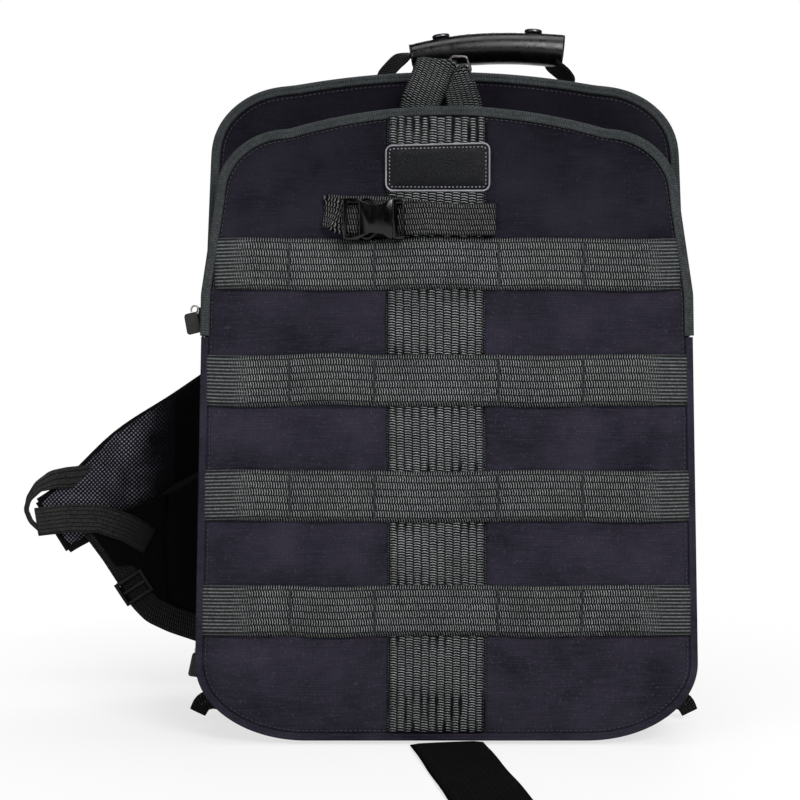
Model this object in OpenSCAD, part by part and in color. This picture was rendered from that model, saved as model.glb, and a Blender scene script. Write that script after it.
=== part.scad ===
// Trauma backpack standing upright on its base.
// X runs across the pack, the front faces -Y, Z is up, and the floor is z = 0.

/* [Main compartment] */
// Half width of the pack at the hips
hip_half_w = 166; // [150:1:180]
// Half width of the main compartment at mid height
main_waist_half_w = 163; // [148:1:178]
// Half width of the main compartment where its top corners begin
main_shoulder_half_w = 158.5; // [146:0.5:172]
// Height where the top corners of the main compartment begin
main_shoulder_z = 396; // [370:1:420]
// Height of the main compartment at its middle
main_top_z = 450.5; // [446:0.5:470]
// Depth of the rear half, from the main zip to the back panel
tub_depth = 110; // [80:1:140]
// Depth of the front half of the main compartment
lid_depth = 14; // [12:1:30]
// Thickness of the padded lid panel
lid_panel_t = 8; // [4:0.5:10]
// Thickness of the outer fabric of the sides
shell_t = 3; // [2:0.25:4]
// Thickness of the back panel
back_t = 3; // [2:0.25:5]
// Thickness of the base panel the pack stands on
base_t = 4; // [3:0.5:6]
// Width of the bottom corner curves
foot_rx = 72; // [50:1:90]
// Height of the bottom corner curves
foot_rz = 50; // [35:1:65]

/* [Front pocket] */
// Depth of the front pocket from the lid panel to its face
pocket_depth = 55; // [40:1:80]
// Half width of the pocket at mid height
pocket_waist_half_w = 160; // [145:1:165]
// Half width of the pocket where its top corners begin
pocket_shoulder_half_w = 150; // [138:1:158]
// Height where the top corners of the pocket begin
pocket_shoulder_z = 364; // [350:1:375]
// Height of the pocket at its middle
pocket_top_z = 421; // [416:1:432]
// Thickness of the pocket face
face_t = 3; // [2:0.25:4]
// Height of the fold line of the flap
flap_fold_z = 272; // [264:1:284]
// Depth of the rim of the flap
flap_rim = 8; // [5:0.5:12]

/* [Webbing] */
// Thickness of all webbing
web_t = 1.5; // [1:0.1:1.8]
// Height of the load rows
row_h = 34; // [25:1:38]
// Height of the middle of the lowest load row
row_first_z = 90; // [80:1:96]
// Distance from one load row to the next
row_pitch = 76.6; // [74:0.2:80]
// Height that the loops of a row stand off between their tacks
row_puff = 1.4; // [0.8:0.1:2.4]
// Width of the upright band
band_w = 66; // [50:1:76]
// Sideways place of the upright band
band_x = -7; // [-20:1:20]
// Width of the base strap
base_strap_w = 50; // [38:1:60]
// Length of the base strap in front of the pocket
base_strap_len = 190; // [100:5:250]
// Width of the narrow webbing of the buckle and the straps
narrow_w = 21; // [18:1:25]
// Diameter of the piping and the bindings
piping_d = 2.4; // [1.5:0.1:2.4]

/* [Patch and buckle] */
// Width of the leather patch
patch_w = 69; // [50:1:80]
// Height of the leather patch
patch_h = 32; // [24:1:36]
// Thickness of the leather patch
patch_t = 2.4; // [1.5:0.1:3]
// Height of the middle of the leather patch
patch_z = 383.5; // [378:0.5:388]
// Height of the middle of the buckle strap
buckle_z = 349; // [344:0.5:352]
// Length of the socket half of the buckle
socket_len = 32; // [26:1:36]
// Length of the visible plug half of the buckle
plug_len = 8; // [6:1:12]
// Width of the buckle
buckle_w = 27; // [25:1:30]
// Thickness of the buckle
buckle_t = 8; // [6:0.5:10]

/* [Zips] */
// Width of each zip tape
tape_w = 9; // [6:0.5:10]
// Thickness of each zip tape
tape_t = 1.3; // [0.8:0.1:1.6]
// Width of one row of teeth
teeth_w = 2.4; // [1.5:0.1:3]
// Height of the teeth above the tape
teeth_rise = 1; // [0.5:0.1:1.4]
// Length of a zip slider
slider_len = 13; // [10:0.5:16]
// Width of a zip slider
slider_w = 9; // [7:0.5:11]
// Thickness of a zip slider
slider_t = 3.6; // [3:0.2:5]
// Length of a zip pull
pull_len = 22; // [16:1:28]
// Width of a zip pull
pull_w = 9; // [6:0.5:11]
// Thickness of a zip pull
pull_t = 2.2; // [1.5:0.1:3]
// Height of the middle of the pocket slider
pocket_slider_z = 285; // [280:1:292]
// Height of the middle of the main slider
main_slider_z = 46; // [38:1:60]

/* [Handle] */
// Length of the leather wrap of the handle
wrap_len = 116; // [90:1:130]
// Diameter of the leather wrap at its middle
wrap_d = 23.5; // [18:0.5:26]
// Rise of the wrap from its ends to its middle
wrap_rise = 4; // [0:0.2:6]
// Height that the wrap's right end gains over its middle
wrap_tilt = 2; // [0:0.2:5]
// Sideways distance of the wrap from the middle of the handle
wrap_shift = 9; // [0:1:10]
// Sideways place of the middle of the handle
handle_x = 25; // [-5:1:30]
// Distance between the two sewn ends of the handle
handle_span = 142; // [130:1:160]
// Height of the wrap's middle above the top of the pack
handle_rise = 34; // [34:0.5:50]
// Width of the handle webbing
handle_web_w = 25; // [20:1:30]
// Distance of the handle webbing in front of the rear piping
handle_inset = 2; // [1:0.5:20]

/* [Back and straps] */
// Thickness of the back pads
pad_t = 14; // [8:1:20]
// Width of each back pad
pad_w = 78; // [60:1:90]
// Thickness of the shoulder pads
shoulder_t = 12; // [8:1:14]
// Width of the shoulder pads
shoulder_w = 70; // [55:1:76]
// Thickness of the hip wings
wing_t = 11; // [8:1:13]
// Height of the hip wings at their root
wing_h = 82; // [60:1:84]
// Height that the hip wings reach beside the back pads
wing_top = 150; // [130:1:150]

/* [Inside] */
// Thickness of the foam lining of the walls
foam_t = 6; // [4:0.5:9]
// Thickness of the stiff sheet in the back
sheet_t = 1.6; // [1:0.1:2.5]
// Thickness of the foam behind the stiff sheet
back_foam_t = 4.4; // [3:0.2:8]
// Thickness of the dividers
divider_t = 8; // [5:0.5:10]
// Height of the lower shelf
shelf_low_z = 160; // [130:1:200]
// Height of the upper shelf
shelf_high_z = 304; // [260:1:330]
// Depth of the organiser pouches
pouch_d = 6; // [3:0.5:10]

/* [Hidden] */

fabric = [0.10, 0.10, 0.14];
web = [0.22, 0.23, 0.22];
binding = [0.30, 0.31, 0.30];
leather = [0.08, 0.07, 0.08];
plastic = [0.05, 0.05, 0.06];
steel = [0.70, 0.70, 0.72];
foam = [0.35, 0.36, 0.38];

gap = 0.3;      // clearance between bodies that move against each other
cut = 1;        // overshoot of a cutting solid
far = 400;      // half size of a clipping block
arc_steps = 8;  // straight pieces in a quarter curve
crown_steps = 5;

// Depth planes, from the back panel to the face of the pocket
back_y = 84;
split_rear_y = back_y - tub_depth;
split_front_y = split_rear_y - 2 * gap;
split_y = (split_rear_y + split_front_y) / 2;
lid_face_y = split_rear_y - lid_depth;
lid_inner_y = lid_face_y + lid_panel_t;
face_y = lid_face_y - pocket_depth;
face_inner_y = face_y + face_t;
rim_y = face_inner_y + flap_rim;
pocket_split_y = rim_y + gap;
pocket_edge_y = rim_y + 2 * gap;
web_y = face_y - web_t;
bottom_z = base_t;
fold_low_z = flap_fold_z - gap;
fold_high_z = flap_fold_z + gap;
back_face_y = back_y + back_t;

top_rx_main = 54;
top_rz_main = 45;
top_rx_pocket = 46;
top_rz_pocket = 42;
waist_z = 300;

// [waist half width, shoulder half width, shoulder height, corner width, corner height, top]
main_spec = [main_waist_half_w, main_shoulder_half_w, main_shoulder_z,
             top_rx_main, top_rz_main, main_top_z];
pocket_spec = [pocket_waist_half_w, pocket_shoulder_half_w, pocket_shoulder_z,
               top_rx_pocket, top_rz_pocket, pocket_top_z];

function crown_z(s, x) =
    let (flat_x = s[1] - s[3], drop = s[5] - s[2] - s[4])
    s[5] - drop * pow(x / flat_x, 2);

// Right half of an upright outline, from the bottom to the middle of the top, d inside it
function half_outline(s, d) = concat(
    [for (i = [0:arc_steps]) let (a = 90 * i / arc_steps)
        [hip_half_w - foot_rx + (foot_rx - d) * sin(a), bottom_z + foot_rz - (foot_rz - d) * cos(a)]],
    [[s[0] - d, waist_z]],
    [for (i = [0:arc_steps]) let (a = 90 * i / arc_steps)
        [s[1] - s[3] + (s[3] - d) * cos(a), s[2] + (s[4] - d) * sin(a)]],
    [for (i = [1:crown_steps]) let (x = (s[1] - s[3]) * (1 - i / crown_steps))
        [x, crown_z(s, x) - d]]
);

function outline(s, d = 0) =
    let (h = half_outline(s, d), n = len(h))
    concat(h, [for (i = [n - 2:-1:0]) [-h[i][0], h[i][1]]]);

// Half width of an outline on its straight side, at height z
function side_x(s, z) =
    let (z0 = bottom_z + foot_rz,
         low = hip_half_w + (s[0] - hip_half_w) * (z - z0) / (waist_z - z0),
         high = s[0] + (s[1] - s[0]) * (z - waist_z) / (s[2] - waist_z))
    z < z0 ? hip_half_w : z < waist_z ? low : high;

// Plate with the given outline, standing between two depth planes
module plate(points, y0, y1) {
    translate([0, y1, 0])
        rotate([90, 0, 0])
            linear_extrude(height = y1 - y0) polygon(points);
}

// Upright wall from outline inset outer to outline inset inner
module ring(s, outer, inner, y0, y1) {
    difference() {
        plate(outline(s, outer), y0, y1);
        plate(outline(s, inner), y0 - cut, y1 + cut);
    }
}

module above(z) {
    intersection() {
        children();
        translate([-far, -far, z]) cube([2 * far, 2 * far, 2 * far]);
    }
}

module below(z) {
    intersection() {
        children();
        translate([-far, -far, z - 2 * far]) cube([2 * far, 2 * far, 2 * far]);
    }
}

module box(low, high) {
    translate(low) cube(high - low);
}

function rounded(w, h, r, n = 5) = [
    for (q = [0:3]) for (i = [0:n]) let (a = 90 * (q + i / n))
        [(w / 2 - r) * (q == 0 || q == 3 ? 1 : -1) + r * cos(a),
         (h / 2 - r) * (q < 2 ? 1 : -1) + r * sin(a)]
];

// Plate with round corners, centred on x and z
module rounded_plate(x, z, w, h, r, y0, y1) {
    translate([x, 0, z]) plate(rounded(w, h, r), y0, y1);
}

function unit(v) = v / norm(v);
function tangent(p, i) = unit(p[min(i + 1, len(p) - 1)] - p[max(i - 1, 0)]);
function across(p, face) = [for (i = [0:len(p) - 1]) unit(cross(tangent(p, i), face))];
function same(p, v) = [for (i = [0:len(p) - 1]) v];

// Flat strap along a path. sides holds its width direction at each point.
module ribbon(path, sides, widths, thick) {
    n = len(path);
    corners = [for (i = [0:n - 1])
        let (s = sides[i] * widths[i] / 2, f = unit(cross(sides[i], tangent(path, i))) * thick / 2)
        each [path[i] - s - f, path[i] + s - f, path[i] + s + f, path[i] - s + f]];
    walls = [for (i = [0:n - 2]) for (k = [0:3])
        let (a = 4 * i + k, b = 4 * i + (k + 1) % 4) each [[a, b, b + 4], [a, b + 4, a + 4]]];
    polyhedron(corners, concat([[3, 2, 1, 0]], walls, [[for (k = [0:3]) 4 * (n - 1) + k]]),
               convexity = 6);
}

function tapered(p, w, ends) = [for (i = [0:len(p) - 1]) i == 0 || i == len(p) - 1 ? ends : w];

// ---- Rear half of the main compartment ----

lining = shell_t + foam_t;
sheet_y = back_y - back_foam_t - sheet_t;
foam_edge_y = split_rear_y + 4;
divider_y0 = foam_edge_y + 7;

module main_shell() {
    color(fabric) ring(main_spec, 0, shell_t, split_rear_y, back_y);
}

module back_panel() {
    color(fabric) plate(outline(main_spec), back_y, back_face_y);
}

module base_panel() {
    flat_x = hip_half_w - foot_rx - 2;
    color(plastic) box([-flat_x, split_rear_y + 6, 0], [flat_x, back_y - 4, base_t]);
}

module foam_liner() {
    color(foam) ring(main_spec, shell_t, lining, foam_edge_y, sheet_y);
}

module back_foam() {
    color(foam) plate(outline(main_spec, shell_t), back_y - back_foam_t, back_y);
}

module frame_sheet() {
    color(plastic) plate(outline(main_spec, shell_t), sheet_y, sheet_y + sheet_t);
}

module divider_space() {
    plate(outline(main_spec, lining), divider_y0, sheet_y);
}

module shelf_dividers() {
    color(foam) for (z = [shelf_low_z, shelf_high_z])
        intersection() {
            divider_space();
            box([-far, -far, z - divider_t / 2], [far, far, z + divider_t / 2]);
        }
}

module middle_divider() {
    color(foam) box([-divider_t / 2, divider_y0, shelf_low_z + divider_t / 2],
                    [divider_t / 2, sheet_y, shelf_high_z - divider_t / 2]);
}

module rear_piping() {
    color(binding) ring(main_spec, -piping_d, 0, rear_piping_y, back_face_y);
}

// Zip tape and teeth on one side of a split plane. way is +1 behind the plane and -1 in front.
module zip_side(s, y, way) {
    tape_y = y + way * tape_w;
    teeth_y = y + way * teeth_w;
    ring(s, -tape_t, 0, min(y, tape_y), max(y, tape_y));
    ring(s, -tape_t - teeth_rise, -tape_t, min(y, teeth_y), max(y, teeth_y));
}

zip_end_z = 22;

module main_zip_tape_rear() {
    color(plastic) above(zip_end_z) zip_side(main_spec, split_rear_y, 1);
}

// Strip of fabric under the bottom edge that the lid folds on
module fold_gusset() {
    flat_x = hip_half_w - foot_rx - 4;
    color(fabric) box([-flat_x, split_front_y - 7, base_t - 1.6],
                      [flat_x, split_rear_y + 5.5, base_t - gap]);
}

// Fabric tabs that close both ends of the main zip
module zip_end_tabs() {
    x = hip_half_w;
    tab = [[x - 40, zip_end_z - 0.5], [x + 5, zip_end_z - 0.5], [x + 9, 8], [x - 5, 1]];
    color(web) for (side = [0, 1]) mirror([side, 0, 0]) difference() {
        plate(tab, split_rear_y + 1, split_rear_y + 1 + web_t);
        plate(outline(main_spec), split_rear_y, split_rear_y + 4);
    }
}

// ---- Back ----

pads_low_z = 128;
pads_high_z = 372;
lumbar_low_z = 24;
lumbar_high_z = pads_low_z - 6;
lumbar_w = 190;

module back_pads() {
    color(fabric) for (x = [-1, 1] * (pad_w / 2 + 20))
        rounded_plate(x, (pads_low_z + pads_high_z) / 2, pad_w, pads_high_z - pads_low_z, 26,
                      back_face_y, back_face_y + pad_t);
}

module lumbar_pad() {
    color(fabric) rounded_plate(0, (lumbar_low_z + lumbar_high_z) / 2, lumbar_w,
                                lumbar_high_z - lumbar_low_z, 24, back_face_y, back_face_y + pad_t);
}

yoke_z = 404;
yoke_w = 190;
yoke_h = 36;
yoke_t = 4.4;

module shoulder_yoke() {
    color(fabric) rounded_plate(0, yoke_z, yoke_w, yoke_h, yoke_h / 3, back_face_y, back_face_y + yoke_t);
}

// ---- Handle ----

rear_piping_y = back_face_y - 2 * piping_d;
handle_y = rear_piping_y - handle_inset - handle_web_w / 2;
handle_foot_z = main_top_z + 1.2;
wrap_mid_z = main_top_z + handle_rise;

// Centre line of the wrap: a flat arc through its two ends and its middle
function wrap_point(u) = [handle_x + wrap_shift + u * wrap_len / 2, handle_y,
                          wrap_mid_z + wrap_tilt * u - wrap_rise * u * u];

// Radius of the wrap, which is pulled tight at its left end and spreads a little at the right
function wrap_r(u) = wrap_d / 2 * (1 + (u < 0 ? -0.24 : 0.06) * u * u);

// Folded ends of the handle webbing, sewn to the top of the pack
module handle_anchors() {
    color(web) for (side = [-1, 1]) let (x = handle_x + side * handle_span / 2)
        difference() {
            box([x - 8, handle_y - handle_web_w / 2, main_top_z - 10],
                [x + 8, handle_y + handle_web_w / 2, handle_foot_z]);
            plate(outline(main_spec), 0, back_face_y);
        }
}

function handle_path() = let (foot = handle_span / 2, end = wrap_len / 2) concat(
    [[handle_x - foot, handle_y, handle_foot_z + gap],
     [handle_x - foot + 1, handle_y, main_top_z + 10],
     [handle_x - foot + 4, handle_y, main_top_z + 20]],
    [wrap_point(-1.04)], [for (i = [-5:5]) wrap_point(i / 5)], [wrap_point(1.04)],
    [[handle_x + foot - 0.6, handle_y, main_top_z + 26],
     [handle_x + foot, handle_y, main_top_z + 12],
     [handle_x + foot, handle_y, handle_foot_z + gap]]
);

module handle_webbing() {
    p = handle_path();
    color(web) ribbon(p, same(p, [0, 1, 0]), same(p, handle_web_w - 6), web_t);
}

// Tube of leather around the webbing, with a slit for the webbing's own thickness
module handle_wrap() {
    n = 12;
    sides = 16;
    slit = web_t / 2 + 0.05;
    path = [for (i = [0:n]) wrap_point(2 * i / n - 1)];
    outer = [for (i = [0:n]) for (k = [0:sides - 1]) let (a = 360 * k / sides, t = tangent(path, i))
        path[i] + wrap_r(2 * i / n - 1) * (cos(a) * [0, 1, 0] + sin(a) * unit(cross([0, 1, 0], t)))];
    walls = [for (i = [0:n - 1]) for (k = [0:sides - 1])
        [i * sides + k, (i + 1) * sides + k, (i + 1) * sides + (k + 1) % sides, i * sides + (k + 1) % sides]];
    color(leather) difference() {
        polyhedron(outer, concat([[for (k = [0:sides - 1]) k]], walls,
                                 [[for (k = [sides - 1:-1:0]) n * sides + k]]), convexity = 4);
        ribbon(concat([wrap_point(-1.1)], path, [wrap_point(1.1)]),
               same(concat([0, 0], path), [0, 1, 0]), same(concat([0, 0], path), handle_web_w - 5.8),
               2 * slit);
    }
}

snap_lift = 0.8;
snap_turn = 8;

module handle_snaps() {
    color(plastic) for (u = [-0.58, 0.6]) let (p = wrap_point(u))
        translate(p + [0, 0, wrap_r(u) + snap_lift])
            rotate([0, snap_turn * u, 0]) {
                cylinder(h = 1.4, r = 6, $fn = 32);
                translate([0, 0, 1.4]) cylinder(h = 0.9, r = 3.6, $fn = 32);
            }
}

// ---- Lid: the front half of the main compartment ----

module lid_panel() {
    color(fabric) union() {
        plate(outline(main_spec), lid_face_y, lid_inner_y);
        ring(main_spec, 0, lining, lid_inner_y, split_front_y);
    }
}

module main_binding() {
    color(binding) ring(main_spec, -piping_d, 0, lid_face_y - 1, lid_face_y + 5);
}

module main_zip_tape_front() {
    color(plastic) above(zip_end_z) intersection() {
        zip_side(main_spec, split_front_y, -1);
        box([-far, lid_face_y + 5, -far], [far, far, 2 * far]);
    }
}

module pocket_gusset() {
    color(fabric) union() {
        below(fold_low_z) ring(pocket_spec, 0, face_t, face_inner_y, lid_face_y);
        above(fold_low_z) ring(pocket_spec, 0, face_t, pocket_edge_y, lid_face_y);
    }
}

module front_panel() {
    color(fabric) below(fold_low_z) plate(outline(pocket_spec), face_y, face_inner_y);
}

module lower_piping() {
    color(fabric) below(fold_low_z)
        ring(pocket_spec, -piping_d, 0, face_y - 0.5, face_y + 3.5);
}

band_low_z = 9;
band_high_z = pocket_top_z - 5;
band_x0 = band_x - band_w / 2;
band_x1 = band_x + band_w / 2;

module band_lower() {
    color(web) box([band_x0, web_y, band_low_z], [band_x1, face_y, fold_low_z]);
}

// Tack lines of a load row: two on each side of the band, and the seams at both ends
tack_near = 8;
tack_step = 56;

function row_tacks(z) = let (end = side_x(pocket_spec, z) - 1) [
    -end, band_x0 - tack_near - tack_step, band_x0 - tack_near,
    band_x1 + tack_near, band_x1 + tack_near + tack_step, end
];

// Height of the webbing's back above the panel, share u of the way from one tack to the next
function puff(k, u) = k == 2
    ? (web_t + row_puff * 0.5) * (1 - pow(2 * u - 1, 8)) + 0.01
    : row_puff * (1 - pow(2 * u - 1, 4)) + 0.01;

function row_line(z) = let (t = row_tacks(z), n = 10) concat(
    [for (k = [0:4]) for (i = [0:n - 1]) [t[k] + (t[k + 1] - t[k]) * i / n, -puff(k, i / n)]],
    [[t[5], -puff(4, 1)]]
);

module load_row(number) {
    z = row_first_z + (number - 1) * row_pitch;
    back = row_line(z + row_h / 2);
    n = len(back);
    front = [for (i = [n - 1:-1:0]) back[i] - [0, web_t]];
    color(web) translate([0, face_y, z - row_h / 2])
        linear_extrude(height = row_h) polygon(concat(back, front));
}

module molle_row_1() load_row(1);
module molle_row_2() load_row(2);
module molle_row_3() load_row(3);
module molle_row_4() load_row(4);

module pocket_zip_tape() {
    color(plastic) above(fold_high_z) zip_side(pocket_spec, pocket_edge_y, 1);
}

organiser_w = 250;
organiser_low_z = 40;
organiser_high_z = 330;
sheet_fabric_t = 1;
large_pouch_w = 118;
small_pouch_w = 76;
pouch_space = 8;

// Row of equal pouches across the organiser
module pouch_row(count, w, low, high) {
    step = w + pouch_space;
    for (i = [0:count - 1]) let (x = (i - (count - 1) / 2) * step)
        box([x - w / 2, lid_face_y - sheet_fabric_t - pouch_d, low],
            [x + w / 2, lid_face_y - sheet_fabric_t, high]);
}

// Pouches sewn to the lid inside the front pocket
module organiser() {
    color(web) {
        box([-organiser_w / 2, lid_face_y - sheet_fabric_t, organiser_low_z],
            [organiser_w / 2, lid_face_y, organiser_high_z]);
        pouch_row(2, large_pouch_w, organiser_low_z + 2, organiser_low_z + 110);
        pouch_row(3, small_pouch_w, organiser_low_z + 130, organiser_low_z + 210);
    }
}

elastic_w = 260;
elastic_h = 38;
elastic_first_z = 120;
elastic_step = 90;

// Rows of elastic across the inside of the lid
module elastic_loops() {
    color(web) for (i = [0:2]) let (z = elastic_first_z + i * elastic_step)
        box([-elastic_w / 2, lid_inner_y, z], [elastic_w / 2, lid_inner_y + 2, z + elastic_h]);
}

loop_y = -68;
loop_top_z = main_top_z + 5;

function loop_leg(x0, x1) = let (foot_z = pocket_top_z + 0.2) [
    [x0, loop_y, foot_z], [x0 + (x1 - x0) * 0.5, loop_y - 1, (foot_z + loop_top_z) / 2],
    [x1, loop_y, loop_top_z]
];

// Loop of webbing behind the pocket's top edge: two legs that lean together
module top_loop() {
    left = loop_leg(-19, -8);
    right = [for (p = loop_leg(12, 4)) p + [0, 4, p[2] > loop_top_z - 2 ? -7 : 0]];
    color(web) {
        ribbon(left, same(left, [1, 0, 0]), same(left, 26), web_t);
        ribbon(right, same(right, [1, 0, 0]), same(right, 25), web_t);
    }
}

ring_r = 1.1;
ring_w = 17;
ring_h = 10;
ring_pivot = [8.5, loop_y + 4.8, loop_top_z - 5.8];
ring_lean = 8;

module ring_bar(a, b) {
    hull() {
        translate(a) sphere(r = ring_r, $fn = 16);
        translate(b) sphere(r = ring_r, $fn = 16);
    }
}

module loop_ring() {
    w = ring_w / 2;
    color(steel) translate(ring_pivot) rotate([ring_lean, 0, 0]) {
        ring_bar([-w, 0, 0], [w, 0, 0]);
        ring_bar([-w, 0, 0], [-w + 3, 0, ring_h]);
        ring_bar([w, 0, 0], [w - 3, 0, ring_h]);
        ring_bar([-w + 3, 0, ring_h], [w - 3, 0, ring_h]);
    }
}

// Strap sewn into the front edge, lying forward on the floor with a folded end
strap_lean = 9.5;
strap_hem = 28;

module base_strap() {
    w = base_strap_w / 2;
    slant = w * tan(strap_lean);
    color(web) translate([0, face_y - 0.5, 0]) rotate([0, 0, strap_lean]) {
        linear_extrude(height = web_t)
            polygon([[-w, -base_strap_len], [w, -base_strap_len], [w, -slant], [-w, slant]]);
        box([-w, -base_strap_len, web_t], [w, -base_strap_len + strap_hem, 2 * web_t]);
    }
}

// ---- Flap of the front pocket ----

module flap_panel() {
    color(fabric) above(fold_high_z) union() {
        plate(outline(pocket_spec), face_y, face_inner_y);
        ring(pocket_spec, 0, face_t, face_inner_y, rim_y);
    }
}

module flap_binding() {
    color(binding) above(fold_high_z)
        ring(pocket_spec, -piping_d, 0, face_y - 0.5, face_y + 3.5);
}

module flap_zip_tape() {
    color(plastic) above(fold_high_z) intersection() {
        zip_side(pocket_spec, rim_y, -1);
        box([-far, face_y + 3.5, -far], [far, far, 2 * far]);
    }
}

module band_upper() {
    color(web) box([band_x0, web_y, fold_high_z], [band_x1, face_y, band_high_z]);
}

module patch() {
    color(leather) rounded_plate(band_x + 0.7, patch_z, patch_w, patch_h, 5, web_y - patch_t, web_y);
}

buckle_x = -68;
socket_end_x = buckle_x + socket_len;
plug_end_x = socket_end_x + gap + plug_len;
strap_x0 = -82;
strap_x1 = 33;
strap_back_y = web_y - web_t;
strap_front_y = strap_back_y - 1.4 - web_t;
strap_raise = 6;

// Closed loop of narrow webbing: its back layer, and the front layer left of the socket
module buckle_strap() {
    low = buckle_z - narrow_w / 2;
    high = buckle_z + narrow_w / 2;
    color(web) {
        box([strap_x0, strap_back_y, low + strap_raise], [strap_x1, web_y, high + strap_raise]);
        box([strap_x0, strap_front_y, low], [buckle_x - gap, strap_front_y + web_t, high]);
        box([strap_x0, strap_front_y, low], [strap_x0 + web_t, web_y, high + strap_raise]);
    }
}

module buckle_strap_slack() {
    low = buckle_z - narrow_w / 2;
    high = buckle_z + narrow_w / 2;
    color(web) {
        box([plug_end_x + gap, strap_front_y, low], [strap_x1, strap_front_y + web_t, high]);
        box([strap_x1 - web_t, strap_front_y, low], [strap_x1, strap_back_y, high]);
    }
}

module buckle_socket() {
    slot_h = buckle_w / 2 - 7.5;
    color(plastic) difference() {
        rounded_plate((buckle_x + socket_end_x) / 2, buckle_z, socket_len, buckle_w, 4,
                      strap_front_y - buckle_t + 1.4, strap_front_y + 1.4);
        box([buckle_x + 6, strap_front_y - buckle_t + 3.4, buckle_z - buckle_w / 2 + 3],
            [socket_end_x + cut, strap_front_y - 0.6, buckle_z + buckle_w / 2 - 3]);
        for (side = [-1, 1])
            box([socket_end_x - 19, strap_front_y - buckle_t, buckle_z + side * (buckle_w / 2) - slot_h / 2],
                [socket_end_x - 4, strap_front_y + 2, buckle_z + side * (buckle_w / 2) + slot_h / 2]);
    }
}

// Plug with two spring arms inside the socket
module buckle_plug() {
    y0 = strap_front_y - buckle_t + 3.4 + gap;
    y1 = strap_front_y - 0.6 - gap;
    z1 = buckle_w / 2 - 3 - gap;
    color(plastic) union() {
        rounded_plate(plug_end_x - plug_len / 2, buckle_z, plug_len, buckle_w - 2, 3,
                      strap_front_y - buckle_t + 2, strap_front_y + 0.8);
        for (side = [-1, 1])
            box([buckle_x + 8, y0, buckle_z + side * (z1 - 2) - 2],
                [plug_end_x - plug_len + 1, y1, buckle_z + side * (z1 - 2) + 2]);
    }
}

// ---- Zip sliders ----

slider_clear = tape_t + teeth_rise + gap;

// Slider body outside the teeth of a zip. x is its inner face.
module slider_body(x, y, z) {
    difference() {
        translate([x - slider_t, y - slider_w / 2, z - slider_len / 2])
            cube([slider_t, slider_w, slider_len]);
        translate([x - slider_t - cut, y - slider_w / 2 - cut, z - 2]) cube([cut + 1, 3.5 + cut, 7]);
    }
}

// Pull that hangs in front of the slider
module pull_tab(x, y, z) {
    color(leather) rounded_plate(x, z - pull_len / 2 + 2, pull_w, pull_len, 2, y - pull_t, y);
}

pocket_slider_x = -side_x(pocket_spec, pocket_slider_z - slider_len / 2) - slider_clear;
pull_lap = 3;
pocket_pull_x = pocket_slider_x - slider_t - pull_w / 2 + pull_lap;
pocket_pull_y = pocket_split_y - slider_w / 2 - gap;
main_slider_x = -hip_half_w - slider_clear;
main_pull_x = main_slider_x - slider_t - pull_w / 2 + pull_lap;
main_pull_y = split_y - slider_w / 2 - gap;

module pocket_zip_slider() {
    color(steel) slider_body(pocket_slider_x, pocket_split_y, pocket_slider_z);
}

module pocket_zip_pull() {
    pull_tab(pocket_pull_x, pocket_pull_y, pocket_slider_z + 4);
}

module main_zip_slider() {
    color(steel) slider_body(main_slider_x, split_y, main_slider_z);
}

module main_zip_pull() {
    pull_tab(main_pull_x, main_pull_y, main_slider_z + 4);
}

// ---- Shoulder straps ----

pad_left_path = [[-50, 98.4, 402], [-61, 112.5, 366], [-82, 117, 320], [-110, 120, 270],
                 [-147, 119, 225], [-192, 113, 194], [-236, 106, 170], [-276, 100, 149],
                 [-306, 96, 133]];
pad_right_path = [[50, 98.4, 402], [54, 112.5, 366], [57, 117, 320], [59, 121, 270],
                  [59, 122, 225], [58, 120, 185], [58, 117, 152]];
tail_left_path = [[-316, 88.9, 130], [-304, 88.3, 131], [-270, 87, 131], [-236, 87.6, 122],
                  [-224, 88.2, 117]];
tail_right_path = [[58, 124.2, 152], [58, 127.2, 185], [59, 129, 225]];
tab_left_path = [[-266, 91.3, 124], [-254, 90.6, 104], [-242, 90, 85]];
tab_right_path = [[58.3, 116.6, 150.9], [60, 113, 132], [61, 110, 118.5]];
gusset_left = [[-277, 128], [-266, 110], [-256, 97], [-226, 97], [-217.5, 104], [-217.5, 146],
               [-240, 134]];
gusset_y = 89.3;
lock_left = [-236, 90, 76];
lock_right = [61.5, 109, 108];
adjuster_left_path = [[-230.2, 89.2, 67.1], [-227.8, 89.2, 63.4], [-220, 89, 56.5], [-206, 88.8, 51],
                      [-182, 88.5, 43], [-hip_half_w + 9, 88.1, 39]];
adjuster_right_path = [[62, 108.5, 97.6], [62, 106.5, 70], [62, 104, 40], [62, 102, 20],
                       [61, 95, 10], [60, 89, 8.5]];

module strap(path, width, ends, thick) {
    ribbon(path, across(path, [0, 1, 0]), tapered(path, width, ends), thick);
}

module shoulder_pad_left() {
    color(fabric) strap(pad_left_path, shoulder_w, shoulder_w - 14, shoulder_t);
}

module shoulder_pad_right() {
    color(fabric) strap(pad_right_path, shoulder_w, shoulder_w - 14, shoulder_t);
}

// The left tab starts from a fabric gusset at the lower edge of the pad
module strap_tail_left() {
    color(web) {
        plate(gusset_left, gusset_y, gusset_y + web_t);
        strap(tail_left_path, narrow_w + 1, narrow_w + 1, web_t);
        strap(tab_left_path, narrow_w + 1, narrow_w + 1, web_t);
    }
}

module strap_tail_right() {
    color(web) {
        strap(tail_right_path, narrow_w + 1, narrow_w + 1, web_t);
        strap(tab_right_path, narrow_w + 1, narrow_w + 1, web_t);
    }
}

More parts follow.
